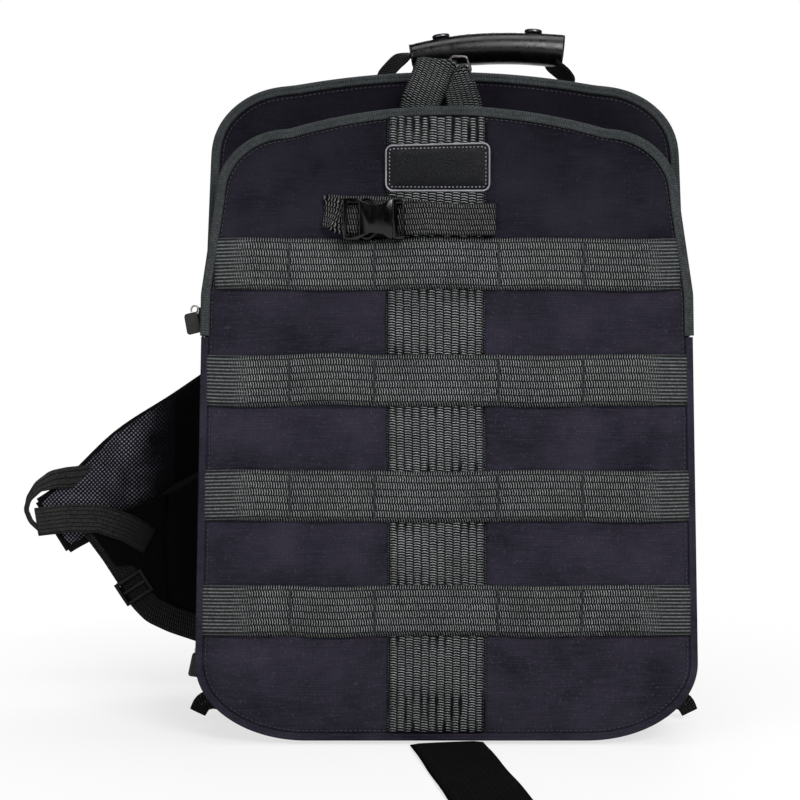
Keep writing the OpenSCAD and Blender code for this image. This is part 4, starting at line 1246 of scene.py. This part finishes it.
def base_strap():
    """Lash strap sewn into the bottom edge, lying forward on the floor with a folded end."""
    low, high = cad_box("base_strap")
    lean = math.radians(9.5)
    root = np.array([0.0, high[1], 0.0])
    way = np.array([math.sin(lean), -math.cos(lean), 0.0])
    length = (high[1] - low[1] - 25 * math.sin(lean)) / math.cos(lean)
    s = np.linspace(0, length, 70)
    lift = WEB_T / 2 + 0.7 * np.sin(s / 23) ** 2
    path = root + s[:, None] * way + lift[:, None] * UP
    side = np.cross(way, UP)
    main = webbing("floor_strap", path, side, 50, crown=0.2)
    hem = webbing("hem", path[-12:] + [0, 0, WEB_T + 0.1], side, 49.4, crown=0.3)
    strap = joined("base_strap_web", [main, hem])
    place(strap, "webbing", "lid", ("base_strap",), look="lash_webbing")
    across = np.linspace(-23, 23, 10)[:, None] * side
    lines = [(path[k] + across + [0, 0, 2.4 * WEB_T - 0.1], UP) for k in (-11, -9)]
    sew("base_strap_stitches", lines, "lid")


# ---- Rear half ----


def rear_shell():
    """Sides, back, base, piping and zip of the main compartment."""
    wall = puffed_wall("shell_wall", MAIN, SPLIT_Y, BACK_IN_Y + 1, 2.4, 2.0, steps=26, seed=4.0)
    place(wall, "shell_fabric", "pack", ("main_shell",))
    xz, faces = filled(outline(MAIN, 0.8), 7)
    back_skin = sheet_mesh("back_skin", xz, faces, BACK_Y - 0.4 + 0.35 * flat_noise(xz, 40), back=True)
    place(thicken(back_skin, 1.4), "shell_fabric", "pack", ("back_panel",), look="back_fabric")
    piping = rim_sweep("rear_edge", MAIN, PIPE, cad_box("rear_piping")[0][1] + 0.8)
    place(piping, "binding_tape", "pack", ("rear_piping",))
    zip_side("main_zip_rear", MAIN, SPLIT_Y, 1, above_zip_end, "pack", ("main_zip_tape_rear",))
    low, high = cad_box("base_panel")
    base = block("base_board", low, high, 1.6)
    place(base, "base_fabric", "pack", ("base_panel",))
    low, high = cad_box("fold_gusset")
    path = np.c_[np.zeros(24), np.linspace(low[1], high[1], 24), np.full(24, (low[2] + high[2]) / 2)]
    hinge = ("lid", "pack", (0, (SPLIT_Y - 5) * MM, 0), (0, (SPLIT_Y + 4) * MM, 0))
    strip = webbing("fold_strip", path, (1, 0, 0), high[0] - low[0], 1.2)
    place(strip, "base_fabric", hinge, ("fold_gusset",))
    low, high = cad_box("zip_end_tabs")
    tabs, lines = [], []
    for side in (-1, 1):
        corners = [(HIP - 24, 12), (HIP - 2, 15), (HIP + 5, 12), (HIP + 8.4, 5)]
        path = smooth_path([(side * x, (low[1] + high[1]) / 2 + 0.4, z) for x, z in corners], 20)
        tabs.append(webbing("tab", path, (-0.25 * side, 0, 1), np.linspace(18, 12, 20), crown=0.2))
        lines.append((path[13:17] - [0, WEB_T, 0], FRONT))
    place(joined("end_tabs", tabs), "webbing", "pack", ("zip_end_tabs",), look="strap_dark")
    sew("end_tab_stitches", lines, "pack")


def interior():
    """Padded lining, back wall, shelves and divider."""
    low, high = cad_box("foam_liner")
    soft = dict(steps=14, inward=True, thickness=1.0, seed=6.0)
    wall = puffed_wall("liner_wall", MAIN, low[1] + 1, high[1], 0, 0.8, LINING, **soft)
    place(wall, "lining_foam", "pack", ("foam_liner",))
    edge = rim_sweep("liner_edge", MAIN, oval(3.1, 2.6, 14), low[1] + 2.4, inset=LINING - 3)
    place(edge, "binding_tape", "pack", look="hem_tape")
    xz, faces = filled(outline(MAIN, LINING - 1), 7)
    x, z = xz.T
    quilt = 1.1 * np.abs(np.sin(math.pi * (x + z) / 62) * np.sin(math.pi * (x - z) / 62)) ** 0.5
    back_lining = sheet_mesh("back_lining", xz, faces, cad_box("frame_sheet")[0][1] - 0.2 - quilt)
    place(thicken(back_lining, 1.0), "lining_foam", "pack", ("frame_sheet", "back_foam"))
    low, high = cad_box("shelf_dividers")
    depth, thick = high[1] - low[1], 7.6
    boards, edges = [], []
    for z in (low[2] + 4, high[2] - 4):
        half = side_x(MAIN, z) - LINING - 0.6
        line = np.c_[np.linspace(-half, half, 40), np.full(40, z)]
        board = soft_bar("board", upright(line, (low[1] + high[1]) / 2), (0, 1, 0), depth, thick, 28)
        boards.append(board)
        edges.append(webbing("edge", upright(line, low[1] + 0.2), (0, 0, 1), 8.6, 1.6))
    place(joined("shelves", boards), "lining_foam", "pack", ("shelf_dividers",))
    low, high = cad_box("middle_divider")
    line = np.c_[np.full(24, (low[0] + high[0]) / 2), np.linspace(low[2], high[2], 24)]
    path = upright(line, (low[1] + high[1]) / 2)
    divider = soft_bar("divider", path, (0, 1, 0), high[1] - low[1], thick, 28)
    place(divider, "lining_foam", "pack", ("middle_divider",))
    line = np.c_[np.zeros(24), np.linspace(low[2] + 1, high[2] - 1, 24)]
    edges.append(webbing("edge", upright(line, low[1] + 0.2), (1, 0, 0), 8.6, 1.6))
    place(joined("board_edges", edges), "binding_tape", "pack", look="hem_tape")


def sewn_pad(name, centre, size, radius, nodes, channels):
    """Inflated pad on the back, with sewn channels and a seam round its foot."""
    w, t, h = size
    loop = rounded_loop(w - 5, h - 5, radius, 12) + [centre[0], centre[2]]
    pad = plate(name, loop, centre[1] - t / 2 + 1, centre[1] + t / 2 - 2.5, 3.5, 3)
    inflate(pad, 6, 4, 5)
    co = np.array([v.co for v in pad.data.vertices]) / MM
    outer = ramp(co[:, 1], centre[1] - t / 4, centre[1] + t / 4)
    for z in channels:
        co[:, 1] -= outer * 4.2 * np.exp(-(((co[:, 2] - z) / 3.2) ** 2))
    d = np.minimum(w / 2 - np.abs(co[:, 0] - centre[0]), h / 2 - np.abs(co[:, 2] - centre[2]))
    co[:, 1] -= outer * 3.0 * np.exp(-(((d - 9) / 2.2) ** 2))
    co[:, 1] = np.clip(co[:, 1], BACK_Y + 0.3, centre[1] + t / 2 + 2)
    pad.data.vertices.foreach_set("co", (co * MM).ravel())
    pad.data.update()
    place(pad, "pad_fabric", "pack", nodes)
    return pad

PAD_WIDTH = 78
def back():
    """Pads, lumbar cushion and yoke on the back panel."""
    low, high = cad_box("back_pads")
    w, t, h = PAD_WIDTH, high[1] - low[1], high[2] - low[2]
    mid = (low + high) / 2
    steps = np.linspace(low[2], high[2], 5)[1:-1]
    sewn_pad("back_pad_left", (low[0] + w / 2, mid[1], mid[2]), (w, t, h), 24, ("back_pads",), steps)
    sewn_pad("back_pad_right", (high[0] - w / 2, mid[1], mid[2]), (w, t, h), 24, (), steps)
    low, high = cad_box("lumbar_pad")
    mid, size = (low + high) / 2, high - low
    centre = (0, mid[1], mid[2])
    sewn_pad("lumbar_cushion", centre, (size[0], t, size[2]), 22, ("lumbar_pad",), [low[2] + 48])
    low, high = cad_box("shoulder_yoke")
    mid, size = (low + high) / 2, high - low
    loop = rounded_loop(size[0], size[2], 10, 10) + [0, mid[2]]
    yoke = plate("yoke", loop, low[1], high[1], 1.6, 3)
    place(yoke, "shell_fabric", "pack", ("shoulder_yoke",), look="pad_shell")
    y = high[1] + 0.1
    ring = looped(rounded_loop(size[0] - 8, size[2] - 8, 8, 10) + [0, mid[2]])
    cross = [np.array([(x - 22, y, low[2] + 8), (x + 22, y, high[2] - 8)]) for x in (-55, 55)]
    cross += [c * [-1, 1, 1] for c in cross]
    sew("yoke_stitches", [(c, TOWARDS_BACK) for c in [upright(ring, y)] + cross], "pack")


# ---- Handle ----


def handle():
    """Leather wrap closed by two snaps round the handle's webbing, whose ends are sewn to the top."""
    low, high = cad_box("handle_wrap")
    web_low, web_high = cad_box("handle_webbing")
    x0, y0 = (low[0] + high[0]) / 2, (low[1] + high[1]) / 2
    half = (high[0] - low[0]) / 2 - 2.6
    mid_z = MAIN_TOP + 34
    at = lambda u: np.array([x0 + u * half, y0, mid_z + 2 * u - 4 * u * u])
    us = np.linspace(-1, 1, 70)
    path = np.array([at(u) for u in us])
    t, s, n = frames(path, (0, 1, 0))
    n = n * np.sign(n[:, 2:3])
    tall = 11.7 * (1 + np.where(us < 0, -0.24, 0.06) * us**2)
    wide = 12.2 * (1 - 0.06 * us**2)
    creases = cloth_noise(path, 9, 2.0) * 0.05
    grid = []
    for q in round_angles(48):
        flat = np.sign(math.cos(q)) * abs(math.cos(q)) ** 0.85
        lap = 0.7 if 0.12 < q / math.pi < 0.5 else 0.0
        dents = 0.10 * cloth_noise(np.c_[path[:, 0], np.full(len(us), 14 * q), path[:, 2]], 13, 4.0)
        up = (tall + creases + dents + lap) * math.sin(q)
        grid.append(path + s * (wide * flat)[:, None] + n * up[:, None])
    grid = np.stack(grid, axis=1)
    inner = path[:, None] + (grid - path[:, None]) * 0.82
    ends = [grid[k] * 0.5 + inner[k] * 0.5 for k in (-1, 0)]
    shell = np.concatenate([grid, ends[:1], inner[::-1], ends[1:]])
    wrap = recalculate(quads("wrap_shell", shell, wrap_u=True, wrap_v=True))
    place(wrap, "leather", "handle", ("handle_wrap",), look="wrap_leather")
    run = slice(2, -2)
    core = soft_bar("wrap_core", path[run], (0, 1, 0), 17, 9, 16)
    place(core, "inner_fabric", "handle", look="strap_dark")
    seam = path + s * (wide * 0.9)[:, None] + n * (tall * 0.52)[:, None]
    sew("wrap_stitches", [(seam[run], (s + n * 0.5)[run])], "handle", "leather", pitch=3.6, length=2.4)
    snaps = []
    profile = [(0.1, 1.9), (1.4, 1.8), (2.2, 1.3), (2.7, 1.2), (4.6, 1.5), (6.0, 1.3)]
    profile += [(6.6, 0.6), (6.6, -0.6)]
    for u in (-0.58, 0.6):
        p, k = at(u), np.argmin(np.abs(us - u))
        around = [math.cos(q) * s[k] + math.sin(q) * t[k] for q in round_angles(28)]
        top = p + n[k] * (tall[k] + 0.9)
        turned = [[top + r * way + n[k] * z for way in around] for r, z in profile]
        snaps.append(recalculate(quads("snap", np.array(turned), wrap_v=True)))
    place(joined("wrap_snaps", snaps), "dark_metal", "handle", ("handle_snaps",))
    foot = (web_high[0] - web_low[0]) / 2 - 0.7
    x0 = (web_low[0] + web_high[0]) / 2
    legs = []
    for side, out in ((-1, 8), (1, 2.2)):
        end = at(side * 0.97)
        foot_x = x0 + side * foot
        drop = end[2] - web_low[2]
        points = [
            (foot_x, y0, web_low[2]),
            (foot_x + side * 0.8, y0, web_low[2] + 0.3 * drop),
            end + [side * out, 0, -0.32 * drop],
            end + [side * 0.35 * out, 0, -0.12 * drop],
            at(side * 0.86),
            at(side * 0.7),
        ]
        curve = smooth_path(points, 44, 3)
        u = np.linspace(0, 1, 44)
        twist = (0.62 if side < 0 else 0.4) * ramp(u, 0.0, 0.35) * (1 - ramp(u, 0.62, 0.95))
        facing = np.cos(twist)[:, None] * TOWARDS_BACK + np.sin(twist)[:, None] * crosswise(curve)
        legs.append(webbing("leg", curve, facing, 22, 2.6))
    bend = ("pack", "handle", (0, 0, (web_low[2] + 1) * MM), (0, 0, (web_low[2] + 20) * MM))
    place(joined("handle_legs", legs), "webbing", bend, ("handle_webbing",), look="strap_dark")
    low, high = cad_box("handle_anchors")
    pads, lines = [], []
    y = (low[1] + high[1]) / 2
    for side in (-1, 1):
        x = x0 + side * ((high[0] - low[0]) / 2 - 8)
        u = np.linspace(-11, 11, 16)
        top = MAIN_TOP - 9.5 * (np.abs(x + u) / 104.5) ** 2
        z = np.minimum(top + 1.3, high[2] - 0.2) + 0.4 * np.cos(u / 7)
        pads.append(webbing("anchor", upright(np.c_[x + u, z], y), (0, 1, 0), 25, 2.0))
        across = np.linspace(low[1] + 2, high[1] - 2, 8)
        lines += [(np.c_[np.full(8, x + q), across, np.full(8, z[8] + 1.1)], UP) for q in (-5, 0, 5)]
    place(joined("anchor_webbing", pads), "webbing", "pack", ("handle_anchors",), look="strap_dark")
    sew("anchor_stitches", lines, "pack", pitch=1.8, length=1.5)


# ---- Zip sliders ----


def slider(prefix, y_mid, tall, tilt):
    """Slider body with a bridge, and a leather pull held by a wire."""
    nodes = (prefix + "_zip_slider", prefix + "_zip_pull")
    bodies = (prefix + "_slider", prefix + "_pull")
    low, high = cad_box(nodes[0])
    (x0, front, z0), (x1, rear, z1) = low, high
    parts = [
        block("lower", (x1 - 1.2, front, z0), high, 0.5),
        block("upper", (x0 + 0.9, front + 0.4, z0 + 0.6), (x0 + 2.3, rear - 0.4, z1 - 0.6), 0.5),
        block("post", (x0 + 1.5, y_mid - 1, z0 + 1), (x1 - 0.6, y_mid + 1, z1 - 1), 0.4),
    ]
    z0, z1 = z0 + 2.5, z1 - 2.5
    bridge = [(x0 + 1.2, z0), (x0 + 0.2, z0 + 1), (x0 - 0.1, (z0 + z1) / 2)]
    bridge += [(x0 + 0.2, z1 - 1), (x0 + 1.2, z1)]
    bridge = smooth_path(upright(np.array(bridge), y_mid), 14, 1)
    parts.append(tube("bridge", bridge, 0.75, 8, side=(0, 1, 0)))
    body = joined(prefix + "_slider_body", parts)
    place(body, "dark_metal", bodies[0], (nodes[0],))
    low_p, high_p = cad_box(nodes[1])
    mid = (low_p + high_p) / 2
    turned = np.array([[math.cos(tilt), math.sin(tilt)], [-math.sin(tilt), math.cos(tilt)]])
    spot = np.array([mid[0], high_p[2] - 3 - tall / 2])
    loops = []
    for w, h, r, count in ((11, tall, 2.2, 8), (8, tall - 3, 1.4, 5)):
        q = rounded_loop(w, h, r, count)
        taper = 1 - 0.014 * (q[:, 1] + tall / 2)
        loops.append(np.c_[q[:, 0] * taper, q[:, 1]] @ turned + spot)
    pull = plate(prefix + "_pull_tab", loops[0], low_p[1], high_p[1], 0.7, 3)
    place(pull, "pull_leather", bodies[1], (nodes[1],))
    line = [(upright(looped(loops[1]), low_p[1]), FRONT)]
    sew(prefix + "_pull_stitches", line, bodies[1], "pull_leather", pitch=2.2, length=1.4, radius=0.25)
    eye = upright(np.array(oval(2.6, 2.9, 28)), 0) + [mid[0] + 1.4, mid[1], high_p[2] - 1.4]
    loop = tube(prefix + "_pull_wire", eye, 0.6, 8, closed=True, side=(0, 1, 0))
    place(loop, "dark_metal", bodies[1], look="pull_metal")


# ---- Shoulder straps and hip wings ----

# Middle lines of the pads, webbing tails, tabs and lower webbings of the shoulder straps
PAD_LEFT = [(-50, 98.4, 402), (-61, 112.5, 366), (-82, 117, 320), (-110, 120, 270), (-147, 119, 225)]
PAD_LEFT += [(-192, 113, 194), (-236, 106, 167), (-273, 100, 139), (-299, 96, 123)]
PAD_RIGHT = [(50, 98.4, 402), (54, 112.5, 366), (57, 117, 320), (59, 121, 270), (59, 122, 225)]
PAD_RIGHT += [(58, 120, 185), (58, 117, 152)]
TAIL_LEFT = [(-311, 89.6, 126.5), (-304, 88, 127.5), (-286, 87, 129.6), (-262, 86.6, 129.5)]
TAIL_LEFT += [(-240, 87.4, 122), (-223, 88.6, 112)]
ARC_LEFT = [(-262, 97, 163), (-280, 93, 161), (-297, 91, 159.5), (-309, 90, 154), (-316.5, 89.8, 145)]
ARC_LEFT += [(-319, 90, 136), (-315.5, 90.4, 127), (-308, 90.6, 120)]
ARC_WIDTH = [16, 17, 17, 14, 8, 4, 4, 4]
TAIL_RIGHT = [(58, 124.2, 152), (58, 127.2, 185), (59, 129, 225)]
TAB_LEFT = [(-262, 91.6, 124), (-250, 91.2, 104), (-241, 91.8, 86), (-234, 92.6, 73)]
TAB_RIGHT = [(58.3, 116.6, 150.9), (60, 113, 132), (61, 110, 118.5)]
ADJUSTER_LEFT = [(-239, 93.4, 81), (-230.3, 91, 67.2), (-221, 89.4, 58)]
ADJUSTER_LEFT += [(-206, 88.8, 51), (-182, 88.5, 43), (-157, 88.1, 39)]
ADJUSTER_RIGHT = [(62, 108.5, 97.6), (62, 106.5, 70), (62, 104, 40)]
ADJUSTER_RIGHT += [(62, 102, 20), (61, 95, 10), (60, 89, 8.5)]
# Outline of a near-black sheet between the left pad and its tab: painted shade that fills a gap lying in
# shade
GUSSET = [(-276, 128), (-262, 110), (-250, 92), (-236, 93), (-224, 72), (-211, 66), (-211, 149), (-240, 136)]
# Outline of a wing as distance from its hinge and height above its low edge, and the turn of the right one
WING = [(1, 1), (54, -1), (103, 8), (123, 19), (123, 98), (114, 106), (82, 124), (56, 143), (38, 153)]
WING += [(14, 155), (8.5, 150), (7.5, 79), (1, 77)]
WING_TUCK = math.radians(60)


def shoulder(side, pad_path, tail_path, tab_path, adjuster_path, turn):
    """Padded shoulder strap with mesh towards the wearer, webbing on its outside and its adjuster."""
    body, is_left = "shoulder_" + side, side == "left"
    path = smooth_path(pad_path, 46, 1)
    n = len(path)
    u = np.linspace(0, 1, n)
    width = 67 - 12 * (1 - ramp(u, 0, 0.12)) - (20 if is_left else 13) * ramp(u, 0.74, 1)
    pad = soft_bar("strap_pad_" + side, path, crosswise(path), width, 9.5)
    inflate(pad, 4.2, 4, 4)
    pad.data.materials.append(LOOKS["pad_mesh" if is_left else "pad_fabric"])
    pad.data.materials.append(LOOKS["pad_shell"])
    # Painted shade: on the left pad, faces towards the pack (x above -206 mm) take the near-black shell,
    # standing in for shade there
    outer = [p.normal.y > 0.15 or (is_left and p.center.x > -0.206) for p in pad.data.polygons]
    pad.data.polygons.foreach_set("material_index", np.array(outer, np.int32))
    place(pad, "pad_fabric", body, ("shoulder_pad_" + side,), look=False)
    _, s, _ = frames(path, crosswise(path))
    inset = (width / 2 - 1.5)[:, None]
    rims = [path + s * inset * k for k in (-1, 1)]
    rims += [path[k] + s[k] * np.linspace(-1, 1, 14)[:, None] * inset[k] for k in (-1, 0)]
    rims = [tube("edge", rim, 2.6, 8, side=(0, 1, 0)) for rim in rims]
    place(joined("strap_edge_" + side, rims), "binding_tape", body, look="hem_tape")
    run = slice(6, n - 6)
    strip = webbing("strap_strip_" + side, path[run] + TOWARDS_BACK * 7.4, crosswise(path)[run], 24)
    place(strip, "webbing", body, look="strap_dark")
    tail = smooth_path(tail_path, 50, 2)
    web = webbing("strap_tail_web_" + side, tail, crosswise(tail), 22, crown=0.4)
    tail_look = "tail_webbing" if is_left else "strap_dark"
    place(web, "webbing", body, ("strap_tail_" + side,), look=tail_look)
    tab = smooth_path(tab_path, 20, 1)
    tab_web = webbing("strap_tab_" + side, tab, crosswise(tab), np.linspace(30, 19, 20), crown=0.2)
    place(tab_web, "webbing", body, look="strap_dark")
    if is_left:
        # Painted shade: a near-black sheet filling the shaded gap between the pad and its tab
        gusset = plate("strap_gusset", resample(np.array(GUSSET), 90, closed=True), 89.2, 91.0, 0.5, 2)
        place(gusset, "webbing", body, look="pad_shell")
        arc = smooth_path(ARC_LEFT, 60, 2)
        arc_width = np.interp(np.linspace(0, 1, 60), np.linspace(0, 1, len(ARC_WIDTH)), ARC_WIDTH)
        web = webbing("strap_arc", arc, crosswise(arc), arc_width, crown=0.6)
        place(web, "webbing", body, look="tail_webbing")
    ladder_lock(side, turn)
    lower = smooth_path(adjuster_path, 50, 2)
    web = webbing("lower_strap_" + side, lower, crosswise(lower), 21)
    start, end = (tuple(Vector(np.array(adjuster_path[k], float) * MM)) for k in (0, -1))
    place(web, "webbing", (body, "pack", start, end), ("adjuster_" + side,), look="strap_dark")


def ladder_lock(side, turn):
    """Three bar adjuster of a shoulder strap, turned about Y."""
    low, high = cad_box("ladder_lock_" + side)
    bars = []
    for z in (-8.4, 0, 8.4):
        y = -0.5 if z else 0.6
        bar = smooth_path([(-10.4, 0, z), (-4, y, z), (4, y, z), (10.4, 0, z)], 12, 1)
        bars.append(soft_bar("bar", bar, (0, 1, 0), 3.4, 3.0, 12))
    for x in (-11, 11):
        rail = smooth_path([(x, 0, -9.6), (x, -0.4, 0), (x, 0, 9.6)], 12, 1)
        bars.append(soft_bar("rail", rail, (0, 1, 0), 4.2, 3.2, 12))
    lock = smoothed(joined("ladder_lock_shell_" + side, bars))
    to_place = Matrix.Translation(Vector((low + high) / 2 * MM))
    lock.data.transform(to_place @ Matrix.Rotation(turn, 4, "Y"))
    place(lock, "buckle_plastic", "shoulder_" + side, ("ladder_lock_" + side,), look="lock_plastic")

def wing(side):
    """Padded hip wing with a sewn rim."""
    node, body = "hip_wing_" + side, "wing_" + side
    corners = np.array([v.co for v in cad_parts[node].data.vertices]) / MM
    lumbar = cad_box("lumbar_pad")[1]
    pivot = np.array([(-1 if side == "left" else 1) * (lumbar[0] + 0.3), lumbar[1] + 0.3, 0.0])
    angle = WING_TUCK if side == "right" else math.pi
    along = np.array([math.cos(angle), math.sin(angle), 0.0])
    across = np.array([-along[1], along[0], 0.0]) * (1 if side == "right" else -1)
    d = (corners - pivot) @ across
    root = pivot + (d.min() + d.max()) / 2 * across
    low = corners[:, 2].min()
    border = resample(np.array(WING), 150, closed=True)
    for _ in range(6):
        border = (np.roll(border, 1, 0) + 2 * border + np.roll(border, -1, 0)) / 4
    pad = plate("wing_pad_" + side, border, -4.2, 4.2, 3.4, 4)
    turn = np.eye(4)
    turn[:3] = np.c_[along, across, UP, (root + [0, 0, low]) * MM]
    pad.data.transform(Matrix(turn.tolist()))
    recalculate(pad)
    inflate(pad, 4.5, 4, 4, across)
    # Painted shade: the wing's faces that look to the front take the near-black shell colour
    place(pad, "pad_fabric", body, (node,), look="pad_shell")
    border = border - 1.2 * outward(border)
    rim = root + border[:, :1] * along + (low + border[:, 1:]) * UP
    edge = tube("wing_edge", rim, 2.6, 8, closed=True, side=tuple(across), squash=1.3)
    place(joined("wing_edge_" + side, [edge]), "binding_tape", body, look="hem_tape")


# ---- Stage ----


def joined_shaders(tree, share, first, second, output):
    """Links two shaders, mixed by a share, to an output node."""
    mixed = tree.nodes.new("ShaderNodeMixShader")
    for socket, value in zip(mixed.inputs, (share, first, second)):
        tree.links.new(value, socket)
    tree.links.new(mixed.outputs[0], tree.nodes[output].inputs["Surface"])


def emission_floor():
    """Pale floor that keeps the object's shadow and runs out to plain white."""
    look = Look("pale_floor", roughness=0.9, specular=0.1)
    look.bsdf.inputs["Base Color"].default_value = (0.92, 0.92, 0.92, 1)
    coord = look.node("TexCoord", output="Object")
    far = look.node("VectorMath", {0: coord}, "Value", operation="LENGTH")
    camera_ray, glossy, through = (
        look.node("LightPath", output=f"Is {kind} Ray") for kind in ("Camera", "Glossy", "Transmission")
    )
    seen = camera_ray.math("MAXIMUM", glossy.math("MAXIMUM", through))
    share = seen * far.spread(0.2, 0.5, 0.7, 1.0)
    white = look.node("Emission", {"Strength": 1.0})
    joined_shaders(look.tree, share.socket, look.bsdf.outputs[0], white.socket, "Material Output")
    mesh = bpy.data.meshes.new("floor")
    mesh.from_pydata([(-6, -6, 0), (6, -6, 0), (6, 6, 0), (-6, 6, 0)], [], [(0, 1, 2, 3)])
    mesh.materials.append(look.mat)
    floor = add_object("floor", mesh, (0, 0, -0.0005))


def world_light(strength):
    """Soft grey light from all round, shown as white where it is seen."""
    world = bpy.data.worlds.new("studio")
    bpy.context.scene.world = world
    world.use_nodes = True
    tree = world.node_tree
    light = tree.nodes["Background"]
    light.inputs["Strength"].default_value = strength
    white = tree.nodes.new("ShaderNodeBackground")
    white.inputs["Color"].default_value = (1, 1, 1, 1)
    light_path = tree.nodes.new("ShaderNodeLightPath")
    seen = tree.nodes.new("ShaderNodeMath")
    seen.operation = "MAXIMUM"
    for socket, kind in zip(seen.inputs, ("Camera", "Transmission")):
        tree.links.new(light_path.outputs[f"Is {kind} Ray"], socket)
    joined_shaders(tree, seen.outputs[0], light.outputs[0], white.outputs[0], "World Output")


def area_lamp(name, location, size, power):
    """Rectangular lamp that looks at the middle of the pack."""
    lamp = bpy.data.lights.new(name, "AREA")
    lamp.shape, lamp.size, lamp.size_y, lamp.energy = "RECTANGLE", size[0], size[1], power
    obj = add_object(name, lamp, location)
    obj.rotation_mode = "QUATERNION"
    towards = Vector((0, 0, 0.25)) - Vector(location)
    obj.rotation_quaternion = towards.to_track_quat("-Z", "Y")


def camera():
    cam = bpy.data.cameras.new("camera")
    cam.sensor_width, cam.lens = 36, 78.4
    obj = add_object("camera", cam, (-0.031, -1.2454, 0.2906))
    obj.rotation_euler = (math.radians(87), 0, 0)
    bpy.context.scene.camera = obj


def stage():
    bpy.context.scene.view_settings.view_transform = "Standard"
    camera()
    emission_floor()
    world_light(0.18)
    area_lamp("key", (0.62, -1.55, 1.2), (0.8, 0.8), 30)
    area_lamp("fill", (-1.2, -1.35, 0.5), (1.0, 1.2), 13)
    area_lamp("top", (0.1, -0.25, 1.6), (1.2, 0.6), 9)
    area_lamp("rear", (0.3, 1.6, 1.2), (1.4, 1.2), 20)


# ---- Build ----

front_face()
band()
for k in range(4):
    load_row(k, "flap" if k == 3 else "lid")
pocket_shell()
patch()
buckle_strap()
buckle()
lid()
organiser()
top_loop()
base_strap()
rear_shell()
interior()
back()
handle()
slider("pocket", RIM_Y + 0.3, 14, math.radians(14))
slider("main", (SPLIT_Y + LID_EDGE_Y) / 2, 17, math.radians(-8))
shoulder("left", PAD_LEFT, TAIL_LEFT, TAB_LEFT, ADJUSTER_LEFT, math.radians(-33))
shoulder("right", PAD_RIGHT, TAIL_RIGHT, TAB_RIGHT, ADJUSTER_RIGHT, math.radians(-3))
wing("left")
wing("right")
stage()
